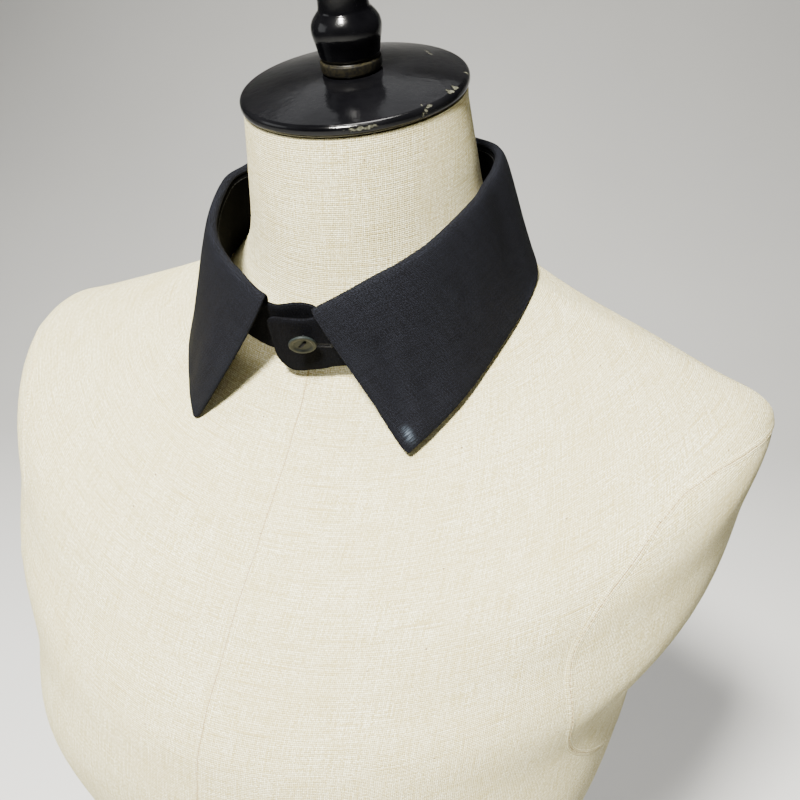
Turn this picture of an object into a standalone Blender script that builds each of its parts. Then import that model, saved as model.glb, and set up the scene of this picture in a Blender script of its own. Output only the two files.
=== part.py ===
"""Detachable shirt collar resting on a limbless dress form. Metres, +Z up.

The wearer's left is +X and the wearer's front faces -Y. The world origin is the middle of the
object's underside. Every piece is drawn in the neck frame, whose origin is in the middle of the
neck cap. The tables and the sizes below hold millimetres; make_mesh turns them into metres.
"""
import math
from collections import namedtuple

import bmesh
import bpy
from mathutils import Matrix, Vector
from mathutils.bvhtree import BVHTree

MM = 0.001
GAP = 0.3

# Neck cap and base board, in millimetres and degrees
CAP_HEIGHT = 590.0
CAP_RADIUS = 50.0
CAP_TOP = 1.4
CAP_BASE = -3.8
CAP_ROUND = 2.2
CAP_CHAMFER = 0.8
CAP_CROWN = 4.8
CAP_TILT = 20.6
BOARD_THICKNESS = 12.0
BOARD_MARGIN = 5.0
BOARD_ROUND = 3.0
BOARD_CHAMFER = 1.0

# The collar's cloth
STAND_WALL = 1.8
LEAF_WALL = 1.6
REST = 0.4
FRONT_ANGLE = 180.0
TAB_ANGLE = 10.4
LEAF_END_ANGLE = 170.0
FRONT_MM_PER_DEGREE = 1.15
TOP_CORNER = 7.0
LOW_CORNER = 9.0
TIP_CORNER = 2.4
TIP_MM_PER_DEGREE = 0.95

# The buttoned ends: how far they part, and where that begins
LAYER_STEP = 1.15
LAYER_START = 42.0
LAYER_BLEND = 28.0

# The leaf's straight start at its seam, its roll over the stand, and its fall to the shoulders
SEAM_RISE = 0.5
ROLL_HANDLE = 3.6
FALL_HANDLE = 0.55
FALL_CROWDING = 1.4

# The leaf's point on the wearer's right: it hangs lower and further forward, and its front edge
# bows towards the middle
RIGHT_START = 130.0
RIGHT_BLEND = 40.0
RIGHT_DROP = 3.0
RIGHT_REACH = 1.5
RIGHT_BOW = 3.0
RIGHT_LOW_BOW = 3.0

# The button on the under end
BUTTON_RADIUS = 5.8
BUTTON_THICKNESS = 2.6
BUTTON_BACK_RADIUS = 3.6
BUTTON_EDGE = 0.35
BUTTON_RIM = 1.5
BUTTON_DISH = 0.6
BUTTON_HOLE_RADIUS = 0.8
BUTTON_HOLE_SPACING = 4.0
BUTTON_ANGLE = 5.3
BUTTON_LEVEL = 0.66
BUTTON_NOD = 15.0
BUTTON_YAW = 19.0
BUTTON_SPIN = 48.0
BUTTON_SHANK = 2.1

# Mesh fineness
FORM_SEGMENTS = 48
FORM_STEPS = 2
STAND_LEVELS = 4
LEAF_COLUMNS = 34
TIP_COLUMNS = (0.0, 0.4, 1.1, 2.2, 4.0)
TAB_COLUMNS = (0.0, 0.4, 1.3, 2.7, 4.6, 7.0, 10.0, 13.5, 18.5)
ROLL_STEPS = 5
FALL_STEPS = 6
ROUND_STEPS = 3
CAP_SEGMENTS = 48
FINIAL_SEGMENTS = 28
BUTTON_SEGMENTS = 28
HOLE_SEGMENTS = 12

# The dress form: one row for each ring, from the top of the neck down to the hem. A fall tells
# how soon the ring drops away from the shoulder line, 2 late and 1 soon.
Ring = namedtuple(
    "Ring",
    "half_width front_y side_y back_y front_z side_z back_z squareness front_fall back_fall",
)
FORM_RINGS = (
    Ring(49.2, -44.0, 1.2, 46.5, -20.9, -3.9, 13.1, 2.00, 1.40, 1.70),
    Ring(52.2, -39.0, 10.0, 57.5, -52.0, -30.0, -9.0, 2.00, 1.40, 1.70),
    Ring(54.7, -35.0, 17.0, 66.5, -84.0, -50.0, -28.0, 2.05, 1.40, 1.70),
    Ring(59.7, -36.0, 22.0, 73.0, -106.0, -64.0, -46.0, 2.15, 1.40, 1.70),
    Ring(69.0, -41.5, 26.0, 80.5, -122.0, -75.0, -61.0, 2.20, 1.40, 1.70),
    Ring(83.0, -51.5, 29.0, 90.5, -139.0, -84.0, -74.0, 2.05, 1.40, 1.70),
    Ring(106.0, -64.5, 32.0, 101.5, -157.0, -94.0, -91.0, 1.95, 1.40, 1.70),
    Ring(135.0, -78.0, 31.0, 110.0, -174.0, -104.0, -112.0, 2.00, 1.50, 1.50),
    Ring(163.0, -91.0, 27.0, 115.0, -190.0, -113.0, -140.0, 2.08, 1.60, 1.25),
    Ring(183.5, -104.0, 24.0, 117.0, -205.0, -119.5, -163.0, 2.12, 1.60, 1.15),
    Ring(190.5, -112.5, 24.0, 118.0, -218.0, -131.0, -182.0, 2.10, 1.50, 1.20),
    Ring(185.0, -120.5, 24.0, 118.0, -230.0, -158.0, -200.0, 2.12, 1.40, 1.30),
    Ring(177.0, -129.0, 18.0, 115.0, -245.0, -196.0, -222.0, 2.20, 1.40, 1.70),
    Ring(154.0, -134.0, 9.0, 110.0, -264.0, -240.0, -250.0, 2.40, 1.40, 1.70),
    Ring(144.0, -133.0, 2.0, 99.0, -300.0, -292.0, -296.0, 2.65, 1.40, 1.70),
    Ring(127.0, -113.0, -2.0, 86.0, -360.0, -358.0, -360.0, 2.35, 1.40, 1.70),
    Ring(119.0, -99.0, 0.0, 82.0, -410.0, -410.0, -410.0, 2.10, 1.40, 1.70),
    Ring(126.0, -102.0, 2.0, 95.0, -460.0, -460.0, -460.0, 2.15, 1.40, 1.70),
    Ring(146.0, -110.0, 5.0, 118.0, -525.0, -525.0, -525.0, 2.20, 1.40, 1.70),
    Ring(154.0, -112.0, 6.0, 124.0, -577.7, -577.7, -577.7, 2.20, 1.40, 1.70),
)

# Half of the collar: one row for each section, by its angle round from the centre back.
# low_* is the stand's lower edge and top_* its upper one, fold_* is the crest of the roll, and
# edge_* is the leaf's outer edge.
Section = namedtuple(
    "Section",
    "angle low_x low_y low_z top_x top_y top_z fold_x fold_y fold_z edge_x edge_y edge_z",
)
COLLAR_SECTIONS = (
    Section(0.0, 0.0, 77.0, -52.0, 0.0, 72.7, -23.4, 0.0, 74.5, -20.8, 0.0, 90.5, -68.0),
    Section(35.0, 38.0, 65.3, -54.6, 37.5, 59.2, -27.0, 38.5, 60.8, -24.6, 50.5, 77.0, -70.5),
    Section(52.0, 52.4, 49.8, -58.8, 51.3, 46.3, -30.0, 52.6, 47.4, -27.6, 67.5, 58.0, -74.0),
    Section(70.0, 61.4, 28.8, -65.6, 56.9, 27.0, -35.2, 58.5, 27.5, -32.6, 79.0, 34.0, -80.0),
    Section(85.0, 63.3, 9.0, -74.0, 58.1, 9.4, -41.2, 59.7, 9.5, -38.9, 81.1, 12.0, -90.0),
    Section(100.0, 61.0, -9.0, -82.0, 58.8, -9.5, -47.2, 60.3, -10.0, -45.0, 78.5, -7.0, -101.0),
    Section(130.0, 47.0, -32.0, -96.5, 48.3, -36.9, -63.8, 49.5, -38.0, -61.0, 70.0, -29.6, -121.0),
    Section(155.0, 25.5, -42.0, -110.0, 26.8, -52.4, -80.5, 27.5, -54.5, -76.0, 60.5, -42.5, -136.5),
    Section(170.0, 11.5, -43.5, -113.5, 11.5, -56.0, -89.2, 11.5, -58.5, -86.0, 53.0, -49.0, -147.0),
    Section(180.0, 0.0, -43.5, -114.0, 0.0, -57.0, -90.3, 0.0, -60.0, -88.0, 50.0, -55.0, -149.0),
)

# How far the stand's edges rise towards its buttoned ends, by eight degrees a row from SHIFT_START
Shift = namedtuple("Shift", "low_rise top_rise")
SHIFT_START = 142.0
SHIFT_STEP = 8.0
UNDER_END = (
    Shift(0.0, 0.0),
    Shift(1.1, 0.3),
    Shift(2.6, 1.8),
    Shift(3.0, 1.8),
    Shift(4.8, 3.4),
    Shift(6.0, 5.4),
    Shift(6.2, 6.0),
    Shift(6.2, 6.0),
)
OVER_END = (
    Shift(0.0, 0.0),
    Shift(0.0, 0.0),
    Shift(0.0, 0.0),
    Shift(-0.2, 0.0),
    Shift(-1.8, -0.4),
    Shift(-3.8, -1.0),
    Shift(-4.0, -1.0),
    Shift(-4.0, -1.0),
)

# Turned pieces: radius and height along the axis
Turn = namedtuple("Turn", "radius height")
FINIAL_PROFILE = (
    Turn(0.0, 0.0),
    Turn(12.6, 0.0),
    Turn(13.1, 0.6),
    Turn(13.3, 2.4),
    Turn(13.2, 4.2),
    Turn(12.6, 4.8),
    Turn(12.2, 5.4),
    Turn(12.5, 6.0),
    Turn(12.9, 6.5),
    Turn(13.7, 10.5),
    Turn(14.5, 14.0),
    Turn(14.9, 17.0),
    Turn(14.5, 19.7),
    Turn(13.2, 22.0),
    Turn(11.7, 23.8),
    Turn(10.8, 25.2),
    Turn(10.5, 30.0),
    Turn(10.9, 35.0),
    Turn(13.2, 39.5),
    Turn(14.7, 45.0),
    Turn(14.2, 50.5),
    Turn(11.8, 55.2),
    Turn(7.3, 58.4),
    Turn(0.0, 59.6),
)


def blend_rows(rows, place):
    """Value of a table at a fractional row, on a Catmull-Rom curve through its rows."""
    index = min(int(place), len(rows) - 2)
    t = place - index
    here, there = rows[index], rows[index + 1]
    before = rows[index - 1] if index > 0 else [2 * a - b for a, b in zip(here, there)]
    after = rows[index + 2] if index + 2 < len(rows) else [2 * b - a for a, b in zip(here, there)]
    values = []
    for a, b, c, d in zip(before, here, there, after):
        slope_in, slope_out = (c - a) / 2, (d - b) / 2
        value = (2 * t**3 - 3 * t**2 + 1) * b + (t**3 - 2 * t**2 + t) * slope_in
        value += (3 * t**2 - 2 * t**3) * c + (t**3 - t**2) * slope_out
        values.append(value)
    return type(here)(*values)


def signed_power(value, power):
    return math.copysign(abs(value) ** power, value)


def ease(value):
    """Smooth step from 0 to 1."""
    value = min(max(value, 0.0), 1.0)
    return value * value * (3 - 2 * value)


# Objects and meshes

def clear_scene():
    for thing in list(bpy.data.objects):
        bpy.data.objects.remove(thing, do_unlink=True)


def material(name, colour, roughness, metallic=0.0):
    made = bpy.data.materials.new(name)
    made.use_nodes = True
    shader = made.node_tree.nodes["Principled BSDF"]
    shader.inputs["Base Color"].default_value = (*colour, 1.0)
    shader.inputs["Roughness"].default_value = roughness
    shader.inputs["Metallic"].default_value = metallic
    return made


def make_mesh(name, points, faces, finish, parent, sharp_angle=35.0):
    """An object from points in millimetres, with its faces turned outwards."""
    mesh = bpy.data.meshes.new(name)
    mesh.from_pydata([Vector(p) * MM for p in points], [], faces)
    solid = bmesh.new()
    solid.from_mesh(mesh)
    bmesh.ops.recalc_face_normals(solid, faces=solid.faces)
    solid.to_mesh(mesh)
    solid.free()
    mesh.shade_smooth()
    mesh.set_sharp_from_angle(angle=math.radians(sharp_angle))
    mesh.materials.append(finish)
    piece = bpy.data.objects.new(name, mesh)
    bpy.context.collection.objects.link(piece)
    piece.parent = parent
    return piece


def ring_faces(ring_count, segments):
    """Quads between closed rings of points, one after another."""
    faces = []
    for ring in range(ring_count - 1):
        for i in range(segments):
            j = (i + 1) % segments
            low, high = ring * segments, (ring + 1) * segments
            faces.append((low + i, low + j, high + j, high + i))
    return faces


def turned(name, profile, segments, finish, parent):
    """A solid turned about local Z; the profile starts and ends on the axis."""
    inner = profile[1:-1]
    points = []
    for turn in inner:
        for i in range(segments):
            angle = math.tau * i / segments
            points.append((turn.radius * math.cos(angle), turn.radius * math.sin(angle), turn.height))
    faces = ring_faces(len(inner), segments)
    first, last = len(points), len(points) + 1
    points.append((0.0, 0.0, profile[0].height))
    points.append((0.0, 0.0, profile[-1].height))
    top = (len(inner) - 1) * segments
    for i in range(segments):
        j = (i + 1) % segments
        faces.append((first, j, i))
        faces.append((last, top + i, top + j))
    return make_mesh(name, points, faces, finish, parent)


def arc(centre_radius, centre_height, radius, start, stop, steps):
    """Profile points along an arc, its angles in degrees from the outward direction."""
    turns = []
    for k in range(steps + 1):
        angle = math.radians(start + (stop - start) * k / steps)
        turns.append(Turn(centre_radius + radius * math.cos(angle), centre_height + radius * math.sin(angle)))
    return turns


# The dress form

def form_ring_table():
    count = (len(FORM_RINGS) - 1) * FORM_STEPS
    return [blend_rows(FORM_RINGS, k / FORM_STEPS) for k in range(count + 1)]


def form_point(ring, angle):
    side, depth = math.cos(angle), math.sin(angle)
    power = 2 / ring.squareness
    reach = ring.back_y - ring.side_y if depth > 0 else ring.side_y - ring.front_y
    end_z = ring.back_z if depth > 0 else ring.front_z
    fall = ring.back_fall if depth > 0 else ring.front_fall
    x = ring.half_width * signed_power(side, power)
    y = ring.side_y + reach * signed_power(depth, power)
    z = ring.side_z + (end_z - ring.side_z) * abs(depth) ** fall
    return (x, y, z)


def form_ring(ring, grow=0.0):
    """A ring of the form's surface, moved outwards in plan by grow."""
    points = []
    for i in range(FORM_SEGMENTS):
        x, y, z = form_point(ring, math.tau * i / FORM_SEGMENTS)
        outward = Vector((x, y - ring.side_y, 0.0)).normalized() * grow
        points.append((x + outward.x, y + outward.y, z))
    return points


def neck_top_height(y):
    """Height of the neck's flat top at a depth y, just under the tilted cap."""
    tilt = math.radians(CAP_TILT)
    return y * math.tan(tilt) + (CAP_BASE - GAP) / math.cos(tilt)


def build_form(finish, parent):
    rings = form_ring_table()
    points = [(x, y, neck_top_height(y)) for x, y, _ in form_ring(rings[0])]
    for ring in rings[1:]:
        points += form_ring(ring)
    faces = ring_faces(len(rings), FORM_SEGMENTS)
    last = len(points) - FORM_SEGMENTS
    faces.append(tuple(range(FORM_SEGMENTS)))
    faces.append(tuple(range(last, len(points))))
    return make_mesh("form_body", points, faces, finish, parent)


def build_board(finish, parent):
    """The base board, the hem's outline made a little larger."""
    hem = FORM_RINGS[-1]
    top = hem.side_z - GAP
    base = top - BOARD_THICKNESS
    levels = [(BOARD_MARGIN - BOARD_CHAMFER, base), (BOARD_MARGIN, base + BOARD_CHAMFER)]
    for turn in arc(BOARD_MARGIN - BOARD_ROUND, top - BOARD_ROUND, BOARD_ROUND, 0.0, 90.0, ROUND_STEPS):
        levels.append((turn.radius, turn.height))
    points = []
    for grow, z in levels:
        points += form_ring(hem._replace(front_z=z, side_z=z, back_z=z), grow)
    faces = ring_faces(len(levels), FORM_SEGMENTS)
    faces.append(tuple(range(FORM_SEGMENTS)))
    faces.append(tuple(range(len(points) - FORM_SEGMENTS, len(points))))
    return make_mesh("base_board", points, faces, finish, parent)


# Neck cap and finial, turned about the neck's tilted axis

def tilt_onto_neck(piece, lift):
    tilt = Matrix.Rotation(math.radians(CAP_TILT), 4, "X")
    piece.matrix_local = tilt @ Matrix.Translation((0.0, 0.0, lift * MM))


def crown_height(radius):
    """Height of the cap's domed top above its rim, at a radius."""
    return CAP_CROWN * (1 - (radius / (CAP_RADIUS - CAP_ROUND)) ** 2)


def build_cap(finish, parent):
    inside = CAP_RADIUS - CAP_ROUND
    profile = [Turn(0.0, CAP_BASE), Turn(inside - CAP_CHAMFER, CAP_BASE)]
    profile += arc(inside, CAP_BASE + CAP_ROUND, CAP_ROUND, -60.0, 0.0, ROUND_STEPS - 1)
    profile += arc(inside, CAP_TOP - CAP_ROUND, CAP_ROUND, 0.0, 80.0, ROUND_STEPS)
    for share in (0.75, 0.5, 0.25, 0.0):
        radius = inside * share
        profile.append(Turn(radius, CAP_TOP + crown_height(radius)))
    piece = turned("neck_cap", profile, CAP_SEGMENTS, finish, parent)
    tilt_onto_neck(piece, 0.0)
    return piece


def build_finial(finish, parent):
    piece = turned("finial", FINIAL_PROFILE, FINIAL_SEGMENTS, finish, parent)
    tilt_onto_neck(piece, CAP_TOP + CAP_CROWN + GAP)
    return piece


# The collar's cloth

def mirrored(section, angle):
    return section._replace(
        angle=angle,
        low_x=-section.low_x,
        top_x=-section.top_x,
        fold_x=-section.fold_x,
        edge_x=-section.edge_x,
    )


def section_at(angle):
    """The collar's section at an angle from the centre back, negative on the wearer's right."""
    turn = abs(angle)
    beyond = turn > FRONT_ANGLE
    if beyond:
        turn = 2 * FRONT_ANGLE - turn
    rows = [mirrored(COLLAR_SECTIONS[1], -COLLAR_SECTIONS[1].angle)]
    rows += COLLAR_SECTIONS
    rows.append(mirrored(COLLAR_SECTIONS[-2], 2 * FRONT_ANGLE - COLLAR_SECTIONS[-2].angle))
    index = 1
    while index < len(rows) - 3 and turn > rows[index + 1].angle:
        index += 1
    place = index + (turn - rows[index].angle) / (rows[index + 1].angle - rows[index].angle)
    found = blend_rows(rows, place)
    if (angle < 0) != beyond:
        found = mirrored(found, angle)
    return found


def low_point(section):
    return Vector((section.low_x, section.low_y, section.low_z))


def top_point(section):
    return Vector((section.top_x, section.top_y, section.top_z))


def layer_offset(angle):
    """How far the buttoned ends part: the left one outwards, the right one inwards."""
    amount = ease((abs(angle) - FRONT_ANGLE + LAYER_START) / LAYER_BLEND)
    return math.copysign(amount * LAYER_STEP, angle)


def end_shift(angle, level):
    """How far the stand lies askew at an angle, level 0 at its lower edge and 1 at its top."""
    place = (abs(angle) - SHIFT_START) / SHIFT_STEP
    if place <= 0:
        return 0.0
    shift = blend_rows(OVER_END if angle > 0 else UNDER_END, place)
    return shift.low_rise + (shift.top_rise - shift.low_rise) * level


def outward_at(angle):
    ahead, behind = section_at(angle + 1.0), section_at(angle - 1.0)
    along = (low_point(ahead) + top_point(ahead) - low_point(behind) - top_point(behind)) / 2
    return Vector((-along.y, along.x, 0.0)).normalized()


def stand_point(angle, level):
    """A point of the stand's middle surface, level 0 at its lower edge and 1 at its top."""
    section = section_at(angle)
    point = low_point(section).lerp(top_point(section), level)
    point += outward_at(angle) * layer_offset(angle)
    point.z += end_shift(angle, level)
    return point


def corner_drop(distance, radius):
    """How far a rounded corner lies inside its square one, by the distance from the end."""
    if distance >= radius:
        return 0.0
    return radius - math.sqrt(max(radius**2 - (radius - distance) ** 2, 0.0))


def clear_of(surface, point, clearance):
    """The point, moved off the form's surface where it lies nearer than the clearance."""
    found, normal, _, _ = surface.find_nearest(point * MM)
    found = found / MM
    if (point - found).dot(normal) < clearance:
        return found + normal * clearance
    return point


def wall_solid(name, grid, wall, finish, parent):
    """A closed cloth wall about a grid of middle points."""
    columns, rows = len(grid), len(grid[0])
    outer, inner = [], []
    for i in range(columns):
        for j in range(rows):
            along = grid[min(i + 1, columns - 1)][j] - grid[max(i - 1, 0)][j]
            across = grid[i][min(j + 1, rows - 1)] - grid[i][max(j - 1, 0)]
            normal = along.cross(across).normalized()
            outer.append(grid[i][j] + normal * wall / 2)
            inner.append(grid[i][j] - normal * wall / 2)
    points = outer + inner
    back = columns * rows
    faces = []
    for i in range(columns - 1):
        for j in range(rows - 1):
            a, b = i * rows + j, (i + 1) * rows + j
            faces.append((a, b, b + 1, a + 1))
            faces.append((back + a, back + a + 1, back + b + 1, back + b))
    rim = [i * rows for i in range(columns)]
    rim += [(columns - 1) * rows + j for j in range(1, rows)]
    rim += [i * rows + rows - 1 for i in range(columns - 2, -1, -1)]
    rim += [j for j in range(rows - 2, 0, -1)]
    for here, there in zip(rim, rim[1:] + rim[:1]):
        faces.append((here, there, back + there, back + here))
    return make_mesh(name, points, faces, finish, parent)


def leaf_angles():
    """Angles of the leaf's columns on one side, closer together at its tip."""
    near = [LEAF_END_ANGLE - step for step in TIP_COLUMNS]
    start = near[-1]
    return [start * k / LEAF_COLUMNS for k in range(LEAF_COLUMNS)] + near[::-1]


def stand_angles():
    """Angles of the stand's columns on one side: the leaf's, and more round its end."""
    end = FRONT_ANGLE + TAB_ANGLE
    near = [end - distance / FRONT_MM_PER_DEGREE for distance in TAB_COLUMNS]
    return leaf_angles() + near[::-1]


def both_sides(angles):
    return [-angle for angle in angles[:0:-1]] + angles


def build_stand(surface, finish, parent):
    end = FRONT_ANGLE + TAB_ANGLE
    grid = []
    for angle in both_sides(stand_angles()):
        low, top = stand_point(angle, 0.0), stand_point(angle, 1.0)
        height = (top - low).length
        distance = (end - abs(angle)) * FRONT_MM_PER_DEGREE
        first = corner_drop(distance, LOW_CORNER) / height
        last = 1.0 - corner_drop(distance, TOP_CORNER) / height
        column = []
        for k in range(STAND_LEVELS + 1):
            point = low.lerp(top, first + (last - first) * k / STAND_LEVELS)
            column.append(clear_of(surface, point, STAND_WALL / 2 + REST))
        grid.append(column)
    return wall_solid("collar_stand", grid, STAND_WALL, finish, parent)


def leaf_section(angle):
    """Middle points of the leaf from its seam on the stand, over the roll, to its outer edge."""
    section = section_at(angle)
    outward = outward_at(angle)
    low, top = stand_point(angle, 0.0), stand_point(angle, 1.0)
    root = top + (top - low).normalized() * GAP
    crest = Vector((section.fold_x, section.fold_y, section.fold_z))
    crest += outward * layer_offset(angle)
    crest.z += end_shift(angle, 1.0)
    edge = Vector((section.edge_x, section.edge_y, section.edge_z))
    lean = ease((-angle - RIGHT_START) / RIGHT_BLEND)
    edge += Vector((0.0, -RIGHT_REACH, -RIGHT_DROP)) * lean
    start = root + (top - low).normalized() * SEAM_RISE
    points = [root]
    for k in range(ROLL_STEPS):
        turn = math.pi / 2 * k / ROLL_STEPS
        point = start.lerp(crest, 1 - math.cos(turn))
        point.z = start.z + (crest.z - start.z) * math.sin(turn)
        points.append(point)
    down = (edge - crest).normalized()
    length = (edge - crest).length
    inward = Vector((-outward.y, outward.x, 0.0)) * lean
    handle = crest + outward * ROLL_HANDLE + inward * RIGHT_BOW
    arrive = edge - down * length * FALL_HANDLE + inward * RIGHT_LOW_BOW
    tip_drop = corner_drop((LEAF_END_ANGLE - abs(angle)) * TIP_MM_PER_DEGREE, TIP_CORNER) / length
    for k in range(FALL_STEPS + 1):
        t = (k / FALL_STEPS) ** FALL_CROWDING * (1 - tip_drop)
        point = crest * (1 - t) ** 3 + handle * 3 * t * (1 - t) ** 2
        point += arrive * 3 * t**2 * (1 - t) + edge * t**3
        points.append(point)
    return points


def build_leaf(surface, finish, parent):
    grid = []
    for angle in both_sides(leaf_angles()):
        points = leaf_section(angle)
        grid.append([clear_of(surface, point, LEAF_WALL / 2 + REST) for point in points])
    return wall_solid("collar_leaf", grid, LEAF_WALL, finish, parent)


def button_frame():
    """Where the button lies: on the outer end, leaning with the pull of its thread."""
    angle = FRONT_ANGLE - BUTTON_ANGLE
    rise = (stand_point(angle, 1.0) - stand_point(angle, 0.0)).normalized()
    along = rise.cross(outward_at(angle)).normalized()
    normal = along.cross(rise).normalized()
    lift = STAND_WALL / 2 + BUTTON_SHANK + BUTTON_THICKNESS / 2
    centre = stand_point(angle, BUTTON_LEVEL) + normal * lift
    turn = Matrix((along, rise, normal)).transposed().to_4x4()
    yaw = Matrix.Rotation(math.radians(BUTTON_YAW), 4, "Y")
    nod = Matrix.Rotation(math.radians(BUTTON_NOD), 4, "X")
    spin = Matrix.Rotation(math.radians(BUTTON_SPIN), 4, "Z")
    return Matrix.Translation(centre * MM) @ turn @ yaw @ nod @ spin


def build_button(finish, parent):
    radius, half = BUTTON_RADIUS, BUTTON_THICKNESS / 2
    profile = [
        Turn(0.0, -half),
        Turn(BUTTON_BACK_RADIUS, -half),
        Turn(radius - BUTTON_EDGE, half - 3 * BUTTON_EDGE),
        Turn(radius, half - 2 * BUTTON_EDGE),
        Turn(radius, half - BUTTON_EDGE),
        Turn(radius - BUTTON_EDGE, half),
        Turn(radius - BUTTON_RIM, half),
        Turn(radius - BUTTON_RIM - BUTTON_DISH, half - BUTTON_DISH),
        Turn(0.0, half - BUTTON_DISH),
    ]
    piece = turned("button", profile, BUTTON_SEGMENTS, finish, parent)
    for name, side in (("button_hole_a", -1), ("button_hole_b", 1)):
        through = [
            Turn(0.0, -BUTTON_THICKNESS),
            Turn(BUTTON_HOLE_RADIUS, -BUTTON_THICKNESS),
            Turn(BUTTON_HOLE_RADIUS, BUTTON_THICKNESS),
            Turn(0.0, BUTTON_THICKNESS),
        ]
        cutter = turned(name, through, HOLE_SEGMENTS, finish, piece)
        cutter.location.x = side * BUTTON_HOLE_SPACING / 2 * MM
        cutter.hide_render = True
        cutter.display_type = "WIRE"
        cut = piece.modifiers.new(name, "BOOLEAN")
        cut.operation = "DIFFERENCE"
        cut.object = cutter
    piece.matrix_local = button_frame()
    return piece


def build_all():
    clear_scene()
    rings = form_ring_table()
    front = min(ring.front_y for ring in rings)
    back = max(max(ring.back_y for ring in rings), rings[-1].back_y + BOARD_MARGIN)
    frame = bpy.data.objects.new("neck_frame", None)
    bpy.context.collection.objects.link(frame)
    frame.location = (0.0, -(front + back) / 2 * MM, CAP_HEIGHT * MM)
    linen = material("linen", (0.83, 0.77, 0.61), 0.85)
    lacquer = material("black_lacquer", (0.01, 0.01, 0.012), 0.12)
    cloth = material("black_cloth", (0.012, 0.012, 0.015), 0.8)
    button_finish = material("button_grey", (0.09, 0.10, 0.08), 0.35)
    form = build_form(linen, frame)
    surface = BVHTree.FromPolygons(
        [vertex.co for vertex in form.data.vertices], [face.vertices for face in form.data.polygons]
    )
    build_board(lacquer, frame)
    build_cap(lacquer, frame)
    build_finial(lacquer, frame)
    build_stand(surface, cloth, frame)
    build_leaf(surface, cloth, frame)
    build_button(button_finish, frame)


build_all()
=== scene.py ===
"""Looks of the detachable shirt collar on its limbless dress form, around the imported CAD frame.

The cloth, the form and the turned pieces are finer surfaces on the same sections, rings and
profiles as the CAD's. Tables and sizes hold millimetres in the neck frame, whose origin is in the
middle of the neck cap. add_mesh turns them into metres in the row frame.
"""
import math

import bmesh
import bpy
import numpy as np
from mathutils import Matrix, Vector
from mathutils.bvhtree import BVHTree
from mathutils.kdtree import KDTree


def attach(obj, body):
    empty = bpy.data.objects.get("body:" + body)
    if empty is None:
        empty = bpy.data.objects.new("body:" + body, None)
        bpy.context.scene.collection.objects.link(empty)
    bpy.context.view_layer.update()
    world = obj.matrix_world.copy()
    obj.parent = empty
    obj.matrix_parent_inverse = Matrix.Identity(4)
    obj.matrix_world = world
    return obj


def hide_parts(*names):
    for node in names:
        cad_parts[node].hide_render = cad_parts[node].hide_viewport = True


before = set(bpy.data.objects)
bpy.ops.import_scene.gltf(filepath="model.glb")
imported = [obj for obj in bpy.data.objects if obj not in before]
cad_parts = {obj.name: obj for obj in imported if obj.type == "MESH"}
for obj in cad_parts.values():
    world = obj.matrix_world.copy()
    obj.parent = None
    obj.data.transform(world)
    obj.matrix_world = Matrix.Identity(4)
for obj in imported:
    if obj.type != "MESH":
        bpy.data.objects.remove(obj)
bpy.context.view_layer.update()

MM = 0.001
NECK = np.array((0.0, 3.03125, 590.0))
SEED = 7

# The CAD's sizes, in millimetres and degrees
CAP_RADIUS = 50.0
CAP_TOP = 1.4
CAP_BASE = -3.8
CAP_ROUND = 2.2
CAP_CROWN = 4.8
CAP_TILT = 20.6
GAP = 0.3
BOARD_THICKNESS = 12.0
BOARD_MARGIN = 5.0
BOARD_ROUND = 3.0
STAND_WALL = 1.8
LEAF_WALL = 1.6
REST = 0.4
FRONT_ANGLE = 180.0
TAB_ANGLE = 10.4
LEAF_END_ANGLE = 170.0
FRONT_MM_PER_DEGREE = 1.15
TOP_CORNER = 7.0
LOW_CORNER = 9.0
TIP_CORNER = 2.4
RIGHT_TIP_CORNER = 3.4
TIP_MM_PER_DEGREE = 0.95
LAYER_STEP = 1.15
LAYER_START = 42.0
LAYER_BLEND = 28.0
SHIFT_START = 142.0
SHIFT_STEP = 8.0
SEAM_RISE = 0.5
ROLL_HANDLE = 3.6
FALL_HANDLE = 0.55
RIGHT_START = 130.0
RIGHT_BLEND = 40.0
RIGHT_DROP = 3.0
RIGHT_REACH = 1.5
RIGHT_BOW = 3.0
RIGHT_LOW_BOW = 3.0
BUTTON_RADIUS = 5.8
BUTTON_THICKNESS = 2.6
BUTTON_BACK_RADIUS = 3.6
BUTTON_EDGE = 0.35
BUTTON_RIM = 1.5
BUTTON_DISH = 0.6
BUTTON_HOLE_RADIUS = 0.8
BUTTON_HOLE_SPACING = 4.0
BUTTON_ANGLE = 5.3
BUTTON_LEVEL = 0.66
BUTTON_NOD = 15.0
BUTTON_YAW = 19.0
BUTTON_SPIN = 48.0
BUTTON_SHANK = 2.1

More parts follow.
